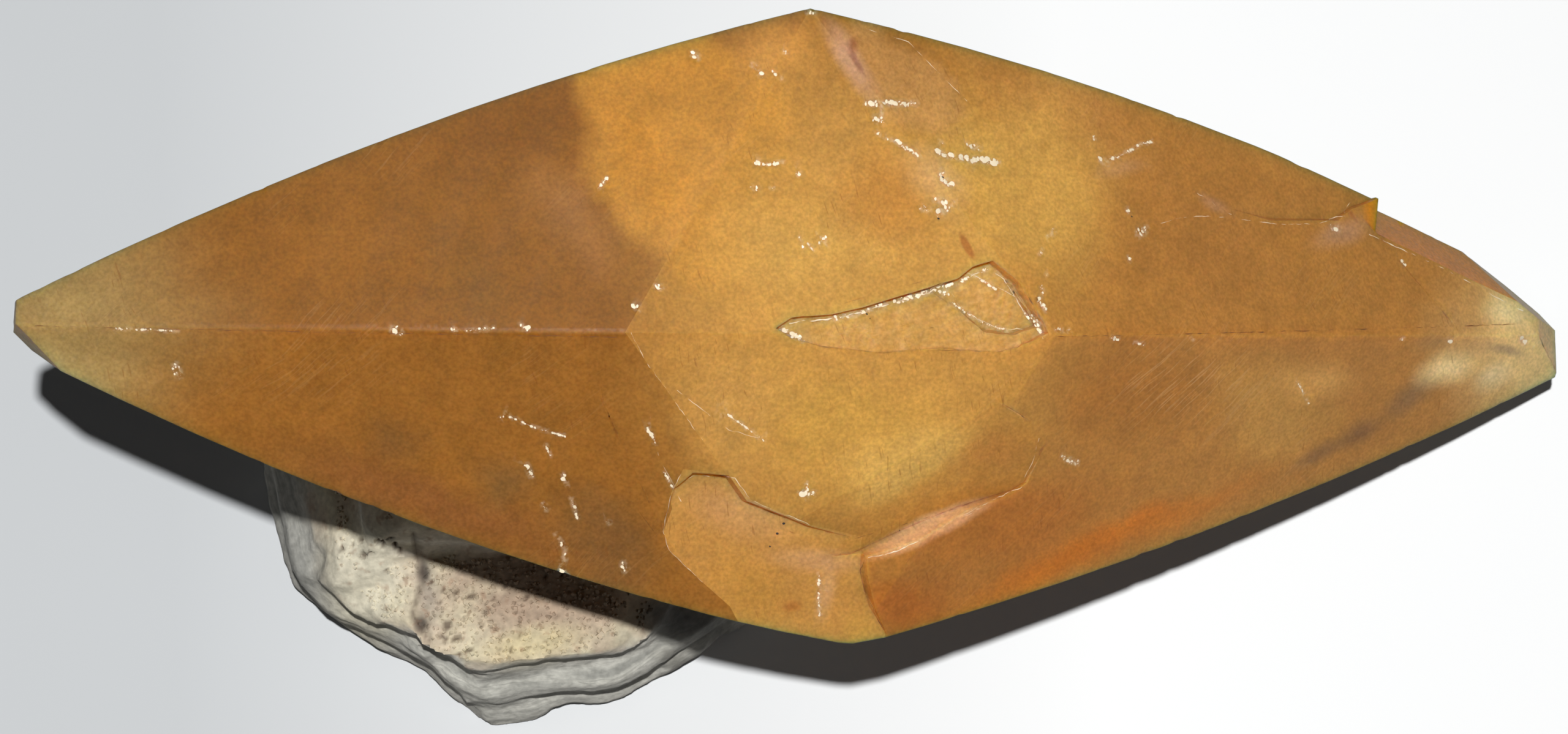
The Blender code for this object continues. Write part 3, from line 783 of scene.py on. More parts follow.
DARK_LINES = {
    "ridge_left": (((-57.0, 0.0), (-20.5, 0.0)), 0.04, 0.035),
    "ridge_right": (((10.3, 0.0), (30.0, 0.0), (52.6, 0.0)), 0.05, 0.05),
    # Painted shade: the crease at the foot of the hollow's wall.
    "hollow_crease_shade": (((-10.3, -11.5), (-6.0, -13.2), (-2.8, -14.1)), 0.04, 0.04),
    "hollow_crease_shade_right": (((-2.8, -14.2), (1.0, -13.2), (4.3, -12.3), (7.3, -11.2)), 0.04, 0.04),
    "chip_foot": (((-7.4, -0.3), (-5.5, -0.8), (-2.1, -1.1), (1.2, -0.9), (5.8, -1.0)), 0.05, 0.025),
    "lobe_right": (((-1.8, -15.1), (-1.9, -16.4), (-1.5, -17.8), (-0.8, -19.2), (0.1, -20.6)), 0.04, 0.03),
}
print(len(PALE_LINES), "pale lines and", len(DARK_LINES), "dark lines")

# %% [markdown]
# The noise that makes a line tremble has four dimensions, so that a seed can change it. A second
# noise sets the thickness from nothing to the full radius, which breaks the line into dashes.
# Curve to Mesh takes no thickness from the points, so it is fed to its Scale input.

# %% Lines on the surface
THREAD_SPACING, THREAD_SEED = 0.16, 4.0
TREMBLE, TREMBLES_PER_MM, DASHES_PER_MM = 4.0, 1.5, 1.4


def thread_tree(target, material):
    numbers = dict.fromkeys(("Spacing", "Seed"), "NodeSocketFloat")
    tree, identifiers, start = new_tree("surface_threads", numbers)
    waves = {"W": start.outputs["Seed"], "Scale": TREMBLES_PER_MM, "Detail": 4.0}
    tremble = add(tree, "ShaderNodeTexNoise", waves, output="Color", noise_dimensions="4D")
    tremble = add(tree, "ShaderNodeVectorMath", {0: tremble, 1: (0.5, 0.5, 0.5)}, operation="SUBTRACT")
    tremble = {0: tremble, 1: (TREMBLE, TREMBLE, 0.0)}
    tremble = add(tree, "ShaderNodeVectorMath", tremble, operation="MULTIPLY")
    spread = add(tree, "GeometryNodeInputNamedAttribute", {"Name": "spread"}, data_type="FLOAT")
    tremble = add(tree, "ShaderNodeVectorMath", {0: tremble, "Scale": spread}, operation="SCALE")
    lines = {"Geometry": spaced_lines(tree, start), "Offset": tremble}
    lines = add(tree, "GeometryNodeSetPosition", lines)

    ray = ray_down(tree, target)
    laid = {"Geometry": lines, "Selection": ray["Is Hit"], "Position": ray["Hit Position"]}
    laid = add(tree, "GeometryNodeSetPosition", laid)
    dashes = waves | {"Scale": DASHES_PER_MM}
    dashes = add(tree, "ShaderNodeTexNoise", dashes, noise_dimensions="4D")
    dashes = add(tree, "ShaderNodeMapRange", {"Value": dashes, "From Min": 0.46, "From Max": 0.7})
    size = add(tree, "GeometryNodeInputNamedAttribute", {"Name": "size"}, data_type="FLOAT")
    thick = add(tree, "ShaderNodeMath", {0: dashes, 1: size}, operation="MULTIPLY")
    section = add(tree, "GeometryNodeCurvePrimitiveCircle", {"Resolution": 5, "Radius": 1.0})
    drawn = {"Curve": laid, "Profile Curve": section, "Scale": thick, "Fill Caps": True}
    finish_tree(tree, add(tree, "GeometryNodeCurveToMesh", drawn), material)
    return tree, identifiers


# Dark brown lines, matt and darker than the stone around them. They run along the ridge and the chip's
# foot, and as painted shade in the crease at the foot of the hollow's wall.
brown_lines_and_crease_shade, tree, shader = new_material("brown_lines_and_crease_shade")
shader.inputs["Base Color"].default_value = colour("#6e4520")
shader.inputs["Roughness"].default_value = 0.7

threads = []
for name, lines, finish in (
    ("pale_lines", PALE_LINES, crushed),
    ("dark_lines", DARK_LINES, brown_lines_and_crease_shade),
):
    tree, sockets = thread_tree(crystal, finish)
    values = {sockets["Spacing"]: THREAD_SPACING, sockets["Seed"]: THREAD_SEED}
    threads.append(evaluated_piece(guide_lines(lines.values(), "line_guides"), tree, values, name))
    print(name, len(threads[-1].data.polygons), "faces")

# %% [markdown]
# Now the calcite itself. It is a cloudy, honey-coloured stone with a dull glassy surface. Light enters it
# and comes out again a few millimetres away, so the finish is a dielectric with the index of calcite and
# strong subsurface scattering that carries red furthest. Its colour comes in zones: brown towards the
# left, gold in the middle, orange below, and pale at the tips. The pale tips are painted light: the glow
# of light shining through where the crystal thins out. Each zone is a soft patch, centred, sized and
# turned in the crystal's own frame.

# %% Calcite colour zones
UPPER_LEFT, LOWER_LEFT, BODY_RIGHT = "#8b5a18", "#966325", "#af7b3a"
GIRDLE_FACETS, LOBE = "#c2924a", "#bd8b45"
ZONES = {
    # name: (s, v), (half length, half width), angle, softness, colour, how much
    # left_tip and left_tip_low are painted light, shining through the thin left tip.
    "left_tip": ((-57.0, 0.5), (14.0, 12.0), 0, 0.9, "#a08652", 0.95),
    "left_tip_end": ((-61.0, 1.0), (5.0, 6.0), 0, 0.8, "#a9844f", 0.7),
    "left_tip_low": ((-57.0, -3.2), (9.0, 2.4), -8, 0.9, "#b69d66", 0.7),
    "upper_left_dark": ((-24.0, 15.0), (14.0, 5.0), 14, 0.8, "#805012", 0.7),
    "upper_left_warm": ((-39.0, 4.5), (9.0, 4.0), 5, 0.9, "#94601a", 0.6),
    "left_band": ((-29.5, 3.0), (2.4, 6.0), 18, 0.9, "#7d551c", 0.6),
    "upper_right": ((13.0, 15.0), (12.0, 4.5), -25, 0.9, "#ba8545", 0.7),
    "before_wedge": ((-22.5, 7.0), (3.2, 5.0), 20, 0.9, "#a8763f", 0.5),
    "orange_wedge": ((-14.0, 11.5), (11.0, 7.3), -62, 0.16, "#bb842f", 0.9),
    "wedge_top": ((-9.6, 19.4), (4.4, 3.2), -25, 0.9, "#c08b42", 0.95),
    "orange_core": ((-16.8, 9.4), (7.5, 2.6), -62, 0.8, "#bd8226", 0.8),
    "middle_gold": ((-3.0, 2.0), (17.5, 20.0), 0, 0.6, "#c4954a", 0.85),
    "middle_upper": ((-7.0, 5.5), (8.0, 4.5), 0, 0.9, "#cb9f50", 0.7),
    "middle_core": ((-1.0, 9.5), (5.0, 4.0), 0, 0.9, "#b87e34", 0.6),
    "right_of_middle": ((8.5, 10.5), (10.0, 7.5), -20, 0.7, "#cc9f50", 0.85),
    "top_veil": ((0.4, 17.6), (5.4, 3.2), -42, 0.25, "#be8f56", 0.6),
    "top_pink": ((-3.4, 18.8), (4.2, 1.3), -57, 0.9, "#c39a7c", 0.75),
    "top_violet": ((-2.9, 18.7), (1.5, 0.4), -65, 0.9, "#8d5c4a", 0.7),
    "below_ridge_left": ((-12.0, -5.0), (5.0, 5.0), 0, 0.8, "#be914c", 0.7),
    "below_ridge": ((-3.0, -6.5), (9.0, 5.0), -10, 0.8, "#c89b49", 0.8),
    "below_ridge_glow": ((0.5, -8.0), (5.5, 3.0), 20, 0.8, "#d0a85c", 0.7),
    "hollow_right": ((6.0, -8.5), (4.0, 2.2), 15, 0.9, "#b2793a", 0.6),
    "right_body": ((24.0, 6.0), (11.0, 8.0), -20, 0.8, "#aa763a", 0.7),
    "right_glow": ((30.0, -6.0), (8.0, 4.0), -18, 0.8, "#bb8c46", 0.8),
    "right_lower": ((17.0, -4.5), (8.0, 5.0), -15, 0.8, "#a46c2c", 0.7),
    "lower_orange": ((10.0, -13.5), (11.0, 4.0), 14, 0.8, "#ac6a28", 0.75),
    "lower_edge": ((15.5, -15.8), (18.0, 2.2), 20, 0.9, "#c2701c", 0.8),
    # The pale lip of the hollow's wall is painted light, because that wall faces the lamp.
    "hollow_lip_painted_light": ((2.8, -13.6), (5.4, 0.9), 22, 0.6, "#dcae80", 0.75),
    "low_rim": ((2.0, -19.0), (5.0, 2.4), 20, 0.9, "#ab6120", 0.7),
    # right_tip is painted light, shining through the thin right tip.
    "right_tip": ((54.0, -1.5), (12.0, 8.0), 0, 0.9, "#e2c283", 0.95),
    "right_smudge": ((42.5, -5.2), (3.2, 1.8), 30, 1.0, "#7d6143", 0.7),
    "right_smudge_middle": ((38.4, -7.6), (2.8, 1.5), 25, 1.0, "#79583a", 0.75),
    "right_smudge_low": ((35.0, -9.3), (3.4, 1.0), 22, 0.9, "#7a5c3f", 0.6),
    "right_smudge_high": ((44.0, -0.8), (2.2, 1.0), 0, 1.0, "#8d6a42", 0.5),
    "right_ridge_smudge": ((51.0, -1.9), (3.0, 0.6), -10, 0.9, "#86705a", 0.6),
    # The right windows and right_tip_low are painted light, shining through the thin right tip.
    "right_window": ((51.0, 0.9), (3.0, 1.5), -8, 1.0, "#efd79c", 0.9),
    "right_window_low": ((50.2, -4.0), (2.6, 1.5), 10, 1.0, "#e8d09c", 0.75),
    "right_window_small": ((47.6, -2.7), (1.6, 1.0), 0, 1.0, "#d5ae68", 0.7),
    "right_tip_low": ((45.4, -3.2), (3.6, 1.8), 12, 1.0, "#f0d498", 0.9),
    "right_glow_high": ((33.5, -3.8), (4.5, 1.8), 0, 0.9, "#cf9c56", 0.7),
    "left_smudge": ((-34.0, -7.5), (2.6, 2.6), 0, 0.9, "#7b5428", 0.7),
    "left_smudge_low": ((-27.0, -10.0), (2.6, 3.0), 30, 0.9, "#7c5a2e", 0.7),
    "left_lower_edge": ((-31.0, -12.0), (14.0, 2.6), -18, 0.9, "#80502a", 0.6),
    "lower_shade": ((-19.5, -14.0), (6.5, 4.0), -30, 0.8, "#7b562c", 0.75),
    "flake_veil": ((36.2, 6.9), (3.4, 1.3), 18, 0.9, "#b78c68", 0.75),
    "flake_veil_start": ((25.0, 9.0), (2.0, 0.7), -25, 0.9, "#b28660", 0.6),
    "comet_veil": ((17.0, 11.4), (3.0, 0.9), 12, 0.9, "#b98e62", 0.5),
    "middle_veil": ((2.5, 10.4), (3.6, 2.6), -20, 0.9, "#cfa671", 0.6),
    "leaf_spot": ((4.2, 6.3), (1.1, 0.38), -60, 0.5, "#a3652c", 0.8),
    "rust_spot": ((-3.0, 19.8), (0.5, 0.7), 0, 0.9, "#8b4a2c", 0.6),
    "rust_vertex": ((-2.6, -21.2), (0.5, 0.5), 0, 0.9, "#8f431f", 0.8),
}
LOBE_ZONES = {
    "hollow_veil": ((-10.5, -12.0), (5.5, 2.4), -22, 0.9, "#c89a68", 0.55),
    "below_hollow": ((-5.0, -15.6), (4.5, 1.2), -6, 0.9, "#c79b70", 0.6),
    "lobe_middle": ((-4.3, -18.0), (0.9, 3.0), -6, 0.9, "#c99f76", 0.5),
    "lobe_yellow": ((-9.5, -17.5), (4.0, 2.4), -40, 0.9, "#bd8c3c", 0.6),
    "lobe_yellow_right": ((-1.6, -21.0), (1.6, 2.4), 30, 0.9, "#c79a48", 0.6),
    "lobe_rust": ((-6.6, -19.0), (0.9, 0.5), 10, 0.8, "#9a5a24", 0.6),
}
BROAD_ZONE = 2.0
print(len(ZONES), "zones in the body and", len(LOBE_ZONES), "in the lobe")

# %% [markdown]
# A zone is a soft ellipse, drawn in millimetres of the crystal's own frame. A Mapping node of the
# Texture type moves, turns and scales the place, so the distance from the zone's centre is 1 at
# its rim. Coats of colour are then laid over each other one by one, like glazes, and a loop lays
# them, because every coat is the same step with another colour.

# %% Soft patches and coats of colour
ANY_DEPTH = 1e6


def in_mm(tree, centre, turn):
    """Object coordinates seen from a place that is moved and turned, in mm."""
    place = add(tree, "ShaderNodeTexCoord", output="Object")
    seen = {"Vector": place, "Location": centre * MM, "Rotation": turn, "Scale": (MM, MM, MM)}
    return add(tree, "ShaderNodeMapping", seen, vector_type="TEXTURE")


def soft_patch(tree, place, centre, radii, angle, softness, strength):
    """Strength inside an ellipse seen from above, fading to 0 across its rim."""
    ellipse = {"Vector": place, "Location": (*centre, 0), "Scale": (*radii, ANY_DEPTH)}
    ellipse["Rotation"] = (0, 0, math.radians(angle))
    nearby = add(tree, "ShaderNodeMapping", ellipse, vector_type="TEXTURE")
    distance = add(tree, "ShaderNodeVectorMath", {0: nearby}, output="Value", operation="LENGTH")
    fade = {"Value": distance, "From Min": 1 - softness, "From Max": 1.1}
    fade |= {"To Min": strength, "To Max": 0.0}
    return add(tree, "ShaderNodeMapRange", fade, interpolation_type="SMOOTHSTEP")


def zone_coats(tree, zones, small_place, broad_place):
    """One coat for each zone: how much of it there is, and its colour."""
    coats = []
    for centre, radii, angle, softness, tint, strength in zones.values():
        place = broad_place if min(radii) > BROAD_ZONE else small_place
        patch = soft_patch(tree, place, centre, radii, angle, softness, strength)
        coats.append((patch, colour(tint)))
    return coats


def coats_over(tree, shade, coats):
    for amount, tint in coats:
        coat = {FACTOR: amount, COLOUR_A: shade, COLOUR_B: tint}
        shade = add(tree, "ShaderNodeMix", coat, MIXED, data_type="RGBA")
    return shade


def marked_share(tree, name, share):
    """A value that the mesh carries, from 0 to 1, times a share."""
    marked = add(tree, "ShaderNodeAttribute", output="Fac", attribute_name=name)
    return add(tree, "ShaderNodeMath", {0: marked, 1: share}, operation="MULTIPLY")


def drawn_out_marks(tree, place, angle, length, width, low, high):
    """Thin marks: noise that is drawn out along one direction, seen from above."""
    turned = {"Vector": place, "Rotation": (0, 0, math.radians(angle))}
    turned["Scale"] = (length, width, length)
    along = add(tree, "ShaderNodeMapping", turned, vector_type="TEXTURE")
    field = add(tree, "ShaderNodeTexNoise", {"Vector": along, "Scale": 1.0, "Detail": 1.0})
    return add(tree, "ShaderNodeMapRange", {"Value": field, "From Min": low, "From Max": high})


print("a patch fades from its softness to 1.1 times its radius")

# %% [markdown]
# The body's base colour changes at the ridge and along the crystal, and all the zones lie on it.
# The lobe has zones of its own, which end at its outline. Folded facets, the bevelled edge and
# fresh breaks are tinted through the marks that their faces carry, so each tint stops at an edge.

# %% Colours of the body and of its faces
BEVEL, BREAK = "#cd8018", "#d2a768"
BREAK_STREAKS = (25, 1.2, 0.35, 0.4, 0.68)  # angle, length, width, from, to
FACET_SHARE, BREAK_SHARE = (0.45, 0.05), (0.2, 0.5)
LOBE_SHARE, BEVEL_SHARE = 0.9, 0.85


def body_shade(tree, place, bent, wandering):
    along = add(tree, "ShaderNodeSeparateXYZ", {0: place}, output="X")
    across = add(tree, "ShaderNodeSeparateXYZ", {0: place}, output="Y")
    above = add(tree, "ShaderNodeMapRange", {"Value": across, "From Min": -0.1, "From Max": 0.1})
    on_right = {"Value": along, "From Min": -15.0, "From Max": 15.0}
    base = (
        (above, colour(UPPER_LEFT)),
        (add(tree, "ShaderNodeMapRange", on_right), colour(BODY_RIGHT)),
    )
    facets = {"Value": along, "From Min": -12.0, "From Max": 2.0}
    facets |= {"To Min": FACET_SHARE[0], "To Max": FACET_SHARE[1]}
    facets = marked_share(tree, "girdle_facet", add(tree, "ShaderNodeMapRange", facets))
    shade = coats_over(tree, colour(LOWER_LEFT), (*base, (facets, colour(GIRDLE_FACETS))))
    shade = coats_over(tree, shade, zone_coats(tree, ZONES, bent, wandering))

    lobe = coats_over(tree, colour(LOBE), zone_coats(tree, LOBE_ZONES, bent, bent))
    bevel = {"Value": along, "From Min": 38.2, "From Max": 39.0, "To Max": BEVEL_SHARE}
    bevel = marked_share(tree, "bevel", add(tree, "ShaderNodeMapRange", bevel))
    fresh = {"Value": drawn_out_marks(tree, place, *BREAK_STREAKS)}
    fresh |= {"To Min": BREAK_SHARE[0], "To Max": BREAK_SHARE[1]}
    fresh = marked_share(tree, "break", add(tree, "ShaderNodeMapRange", fresh))
    faces = ((marked_share(tree, "lobe", LOBE_SHARE), lobe), (bevel, colour(BEVEL)))
    return coats_over(tree, shade, (*faces, (fresh, colour(BREAK))))


print("fresh breaks are", colour(BREAK)[:3])

# %% [markdown]
# Clouds inside the stone make its colour uneven at three sizes. The finest is a speckle of a
# quarter of a millimetre. Each size is a noise that swings around 1, and their product scales
# the colour.

# %% Clouds inside the calcite
UNEVENNESS = (
    # size in mm, detail, how dark, how light
    (2.4, 4.0, 0.9, 1.08),
    (0.7, 3.0, 0.93, 1.07),
    (0.24, 1.0, 0.87, 1.13),
)


def cloudiness(tree, place):
    factor = 1.0
    for size, detail, darker, lighter in UNEVENNESS:
        cloud = {"Vector": place, "Scale": 1 / size, "Detail": detail}
        cloud = {"Value": add(tree, "ShaderNodeTexNoise", cloud), "From Min": 0.3, "From Max": 0.7}
        cloud |= {"To Min": darker, "To Max": lighter}
        cloud = add(tree, "ShaderNodeMapRange", cloud)
        factor = add(tree, "ShaderNodeMath", {0: factor, 1: cloud}, operation="MULTIPLY")
    return factor


print("the colour is uneven at", [size for size, *_ in UNEVENNESS], "mm")

# %% [markdown]
# Over the clouds lie fine brown hairlines, about a millimetre long, and pale scratches, which are
# thickest to the right below the ridge. Both are noise stretched along one direction and kept to
# patches. On the real crystal they are a twentieth of a millimetre wide; here they are drawn
# two or three times as wide, because they would not show otherwise. Crushed powder pales the
# stone around each bruise.

# %% Hairlines, scratches and powder
HAIRS = (-74, 1.3, 0.16, 0.66, 0.74)  # angle, length, width, from, to
SCRATCHES = (44, 3.2, 0.13, 0.56, 0.7)
SCRATCH_FIELD = ((22.0, -3.6), (10.0, 5.5), -6, 1.0, 0.4)
PATCHES_PER_MM, POWDER_PER_MM = 0.14, 3.0
HAIR_SHARE, STRAY_SCRATCH_SHARE, POWDER_SHARE = 0.38, 0.1, 0.55


def mark_coats(tree, place, bent):
    patches = {"Vector": place, "Scale": PATCHES_PER_MM, "Detail": 1.0}
    patches = add(tree, "ShaderNodeTexNoise", patches)
    hairy = {"Value": patches, "From Min": 0.45, "From Max": 0.62, "To Max": HAIR_SHARE}
    hairs = {0: drawn_out_marks(tree, bent, *HAIRS), 1: add(tree, "ShaderNodeMapRange", hairy)}
    hairs = add(tree, "ShaderNodeMath", hairs, operation="MULTIPLY")

    stray = {"Value": patches, "From Min": 0.52, "From Max": 0.66, "To Max": STRAY_SCRATCH_SHARE}
    scuffed = {0: soft_patch(tree, place, *SCRATCH_FIELD), 1: add(tree, "ShaderNodeMapRange", stray)}
    scuffed = add(tree, "ShaderNodeMath", scuffed, operation="MAXIMUM")
    scratches = {0: drawn_out_marks(tree, bent, *SCRATCHES), 1: scuffed}
    scratches = add(tree, "ShaderNodeMath", scratches, operation="MULTIPLY")

    powder = add(tree, "ShaderNodeTexNoise", {"Vector": place, "Scale": POWDER_PER_MM, "Detail": 4.0})
    powder = add(tree, "ShaderNodeMapRange", {"Value": powder, "From Min": 0.42, "From Max": 0.62})
    bruised = marked_share(tree, "bruise", 1.0)
    bruised = {"Value": bruised, "From Min": 0.2, "From Max": 1.0, "To Max": POWDER_SHARE}
    powder = {0: add(tree, "ShaderNodeMapRange", bruised), 1: powder}
    powder = add(tree, "ShaderNodeMath", powder, operation="MULTIPLY")
    return ((hairs, colour("#7a4517")), (scratches, colour("#d8ae76")), (powder, colour("#e2caa4")))


print("hairlines", HAIRS[1], "mm long, scratches", SCRATCHES[1], "mm long")

# %% [markdown]
# Now everything comes together in one finish. A large soft noise shifts the places that the zones
# are measured from, so that their edges wander. The surface is dull: a fine grain makes its gloss
# uneven and gives it a faint relief.

# %% Calcite finish
CLOUD_SIZE, SHIFT_SMALL, SHIFT_BROAD = 9.0, 2.0, 7.0
GRAIN, GRAIN_RELIEF = 0.3, 0.02
DULLEST, GLOSSIEST = 0.56, 0.42
SCATTER = 3.5


def calcite_material():
    # Honey calcite, cleaved and scuffed: dull glassy, cloudy, lit from within near its thin parts.
    material, tree, shader = new_material("honey_calcite")
    place = in_mm(tree, AXIS_POINT, LIE)
    cloud = {"Vector": place, "Scale": 1 / CLOUD_SIZE, "Detail": 3.0}
    cloud = add(tree, "ShaderNodeTexNoise", cloud, output="Color")
    cloud = add(tree, "ShaderNodeVectorMath", {0: cloud, 1: (0.5, 0.5, 0.5)}, operation="SUBTRACT")
    places = []
    for shift in (SHIFT_SMALL, SHIFT_BROAD):
        moved = add(tree, "ShaderNodeVectorMath", {0: cloud, "Scale": shift}, operation="SCALE")
        places.append(add(tree, "ShaderNodeVectorMath", {0: place, 1: moved}, operation="ADD"))
    bent, wandering = places

    shade = {0: body_shade(tree, place, bent, wandering), "Scale": cloudiness(tree, place)}
    shade = add(tree, "ShaderNodeVectorMath", shade, operation="SCALE")
    shade = coats_over(tree, shade, mark_coats(tree, place, bent))
    grain = add(tree, "ShaderNodeTexNoise", {"Vector": place, "Scale": 1 / GRAIN, "Detail": 3.0})
    relief = {"Height": grain, "Strength": 0.25, "Distance": GRAIN_RELIEF * MM}
    dull = {"Value": grain, "From Min": 0.3, "From Max": 0.7}
    dull |= {"To Min": GLOSSIEST, "To Max": DULLEST}
    tree.links.new(shade, shader.inputs["Base Color"])
    tree.links.new(add(tree, "ShaderNodeMapRange", dull), shader.inputs["Roughness"])
    tree.links.new(add(tree, "ShaderNodeBump", relief), shader.inputs["Normal"])
    shader.inputs["IOR"].default_value = 1.6
    shader.inputs["Specular IOR Level"].default_value = 0.12
    shader.inputs["Subsurface Weight"].default_value = 1.0
    shader.inputs["Subsurface Radius"].default_value = (1.0, 0.45, 0.14)
    shader.inputs["Subsurface Scale"].default_value = SCATTER * MM
    return material


crystal.data.materials.clear()
crystal.data.materials.append(calcite_material())
for piece in (crystal, splinters, specks, *threads):
    piece.data.transform(FROM_CRYSTAL)
    keep_in_box(piece, "calcite_crystal")
print("calcite shader:", len(crystal.data.materials[0].node_tree.nodes), "nodes")

# %% [markdown]
# The host rock is a sugary dolostone: a cream top where it broke fresh, grey layered sides, a vertical
# crack and a scatter of dark pits. Pits and the crack are real dents in the top. Most of the pits are
# listed one by one, and a few dozen finer ones are scattered around them.

# %% Pits and the crack in the rock
TOP_HEIGHT, DENT_REACH = 11.5, 3.0
CRACK = ((-30.4, -9.0), (-30.3, -12.2), (-31.1, -14.5), (-29.8, -16.5))
CRACK_WIDTH, CRACK_DEPTH = 0.3, 0.22
PITS = (
    (-36.0, -9.3), (-34.6, -8.8), (-34.5, -10.0), (-33.9, -10.0), (-33.2, -9.3), (-32.8, -9.5),
    (-32.8, -11.2), (-32.1, -9.2), (-31.9, -9.7), (-31.6, -10.0), (-35.2, -9.1), (-29.5, -12.2),
    (-28.6, -12.7), (-27.8, -13.1), (-26.7, -13.3), (-27.7, -15.0), (-28.5, -15.3), (-27.9, -16.3),
    (-27.0, -17.2), (-29.0, -16.1), (-26.4, -16.7), (-24.2, -12.7), (-22.6, -13.6), (-25.6, -14.6),
)
PIT_RADIUS, PIT_STEEPNESS = 0.24, 1.5
SPECK_PITS, SPECK_PIT_RADIUS = 50, 0.14
PIT_AREA = ((-31.0, -20.0), (-18.0, -12.0))

picker = random.Random(11)
pits = [(x, y, PIT_RADIUS * picker.uniform(0.7, 1.3)) for x, y in PITS]
for _ in range(SPECK_PITS):
    x, y = (picker.uniform(*span) for span in PIT_AREA)
    pits.append((x, y, SPECK_PIT_RADIUS * picker.uniform(0.6, 1.4)))


def dent_depths(points):
    """How deep the pits and the crack are at each point of the top, in mm."""
    deepest = CRACK_DEPTH * np.clip(1 - path_distances(CRACK, points) / CRACK_WIDTH, 0, 1)
    for x, y, radius in pits:
        share = np.hypot(points[:, 0] - x, points[:, 1] - y) / radius
        deepest = np.maximum(deepest, PIT_STEEPNESS * radius * (1 - share**2))
    return np.where(points[:, 2] > TOP_HEIGHT - DENT_REACH, deepest, 0)


print(len(pits), "pits")

# %% [markdown]
# The rock has no sharp edges to keep, so a voxel remesh gives it an even skin of small squares.
# Noise roughens the skin, and grooves follow the layers on the sides. Near the crystal the skin
# may only move inwards, so that the crystal keeps its seat. Three values are stored for the
# finish: how deep in a pit a point is, how steep the skin is, and where grains may lie.

# %% Shape of the rock's surface
ROCK_VOXEL = 0.3
ROUGH = ((5.0, 0.3), (1.6, 0.12), (0.6, 0.05))  # size and height of each kind of lump
LAYER, LAYER_REACH, LAYER_DEPTH = 1.1, 9.0, 0.15
SEAT_GAP, GRAIN_GAP = 1.0, 0.9
UNDERSIDE, LEVEL = 0.3, 0.85
DARK_DEPTH = 0.25
ROCK_EDGE = math.radians(32)


def even_skin(item, voxel):
    """Replaces an object's mesh by an even one, through a voxel remesh that is then removed."""
    remesh = item.modifiers.new("even_skin", "REMESH")
    remesh.mode = "VOXEL"
    remesh.voxel_size = voxel
    graph = bpy.context.evaluated_depsgraph_get()
    item.data = bpy.data.meshes.new_from_object(item.evaluated_get(graph))
    item.modifiers.remove(remesh)


def roughness_at(co, normal):
    """Height of the skin above the CAD face: lumps, grit, and grooves along the layers."""
    height = sum(amount * noise.noise(co / size) for size, amount in ROUGH)
    groove = noise.noise(Vector((co.x / LAYER_REACH, co.y / LAYER_REACH, co.z / LAYER)))
    return height - LAYER_DEPTH * max(0.0, groove) * (1 - abs(normal.z))


def shape_rock(item):
    mesh = item.data
    places = [vertex.co.copy() for vertex in mesh.vertices]
    normals = [vertex.normal.copy() for vertex in mesh.vertices]
    dents = dent_depths(np.array(places))
    for name in ("pit", "grains", "steep_painted_light"):
        mesh.attributes.new(name, "FLOAT", "POINT")
    pit, grains, steep_painted_light = (mesh.attributes[name] for name in ("pit", "grains", "steep_painted_light"))
    for index, (co, normal, dent) in enumerate(zip(places, normals, dents)):
        seat = TO_CRYSTAL @ (co * MM)
        gap = (crystal_seat.closest_point_on_mesh(seat)[1] - seat).length
        rough = roughness_at(co, normal)
        if gap < SEAT_GAP:
            rough = -abs(rough)
        if co.z > UNDERSIDE:
            mesh.vertices[index].co = co + normal * (rough - dent)
        pit.data[index].value = min(1.0, dent / DARK_DEPTH)
        # Steepness; in the finish it paints the sides paler, as painted light.
        steep_painted_light.data[index].value = 1 - abs(normal.z)
        clear = co.z > TOP_HEIGHT and normal.z > LEVEL and gap > GRAIN_GAP and dent == 0
        grains.data[index].value = float(clear)


crystal_seat = mesh_object(merged_copy("calcite_crystal", TO_CRYSTAL), "crystal_seat")
rock = mesh_object(merged_copy("matrix_rock", Matrix.Scale(1 / MM, 4)), "host_rock")
even_skin(rock, ROCK_VOXEL)
shape_rock(rock)
rock.data.shade_smooth()
rock.data.set_sharp_from_angle(angle=ROCK_EDGE)
bpy.data.objects.remove(crystal_seat)
print("rock:", len(rock.data.polygons), "faces")

# %% [markdown]
# The rock's colour follows its place: ivory at the left, brownish with rust specks to the right of the
# crack, yellowish at the rim, grey on the layered sides, nearly black in the pits. Steep faces are painted
# paler: that is painted light, for the light that the paper throws back onto the sides. Each tint is a
# soft patch in world millimetres, laid as a coat, and thinner where the blotches are dark.

# %% Rock finish
BLOTCHES, GRIT, RUST = (2.4, 5.0), (0.5, 4.0), (0.9, 2.0)  # size in mm, detail
GRIT_RELIEF = 0.12
ROCK_TINTS = {
    # name: (x, y), (half length, half width), angle, softness, colour, how much
    "brownish": ((-22.0, -13.5), (9.0, 4.5), -12, 0.7, "#a48d78", 0.85),
    "yellowish": ((-22.5, -17.0), (5.0, 1.7), 8, 0.8, "#cbbd94", 0.8),
    "ivory": ((-34.8, -11.5), (4.4, 5.5), 0, 0.6, "#d3ccb6", 0.95),
    "left_grey": ((-41.0, -8.5), (4.2, 8.5), 25, 1.0, "#96958f", 0.9),
    # The darker strip beside the crack is painted shade of the crack's step.
    "crack_step_shade": ((-29.8, -12.5), (1.2, 4.4), 4, 0.9, "#8c8279", 0.6),
    # Two dark patches along the crack.
    "crack_dark_patch": ((-30.0, -11.3), (0.6, 1.2), 0, 0.8, "#463f39", 0.9),
    "crack_dark_patch_low": ((-30.4, -15.1), (0.8, 0.9), 0, 0.8, "#463f39", 0.85),
    "right_shade": ((-11.5, -15.3), (4.6, 2.0), -5, 0.7, "#5c5c5a", 0.85),
    "right_nub": ((-12.4, -17.9), (1.7, 0.9), -5, 0.7, "#a5a298", 0.8),
}


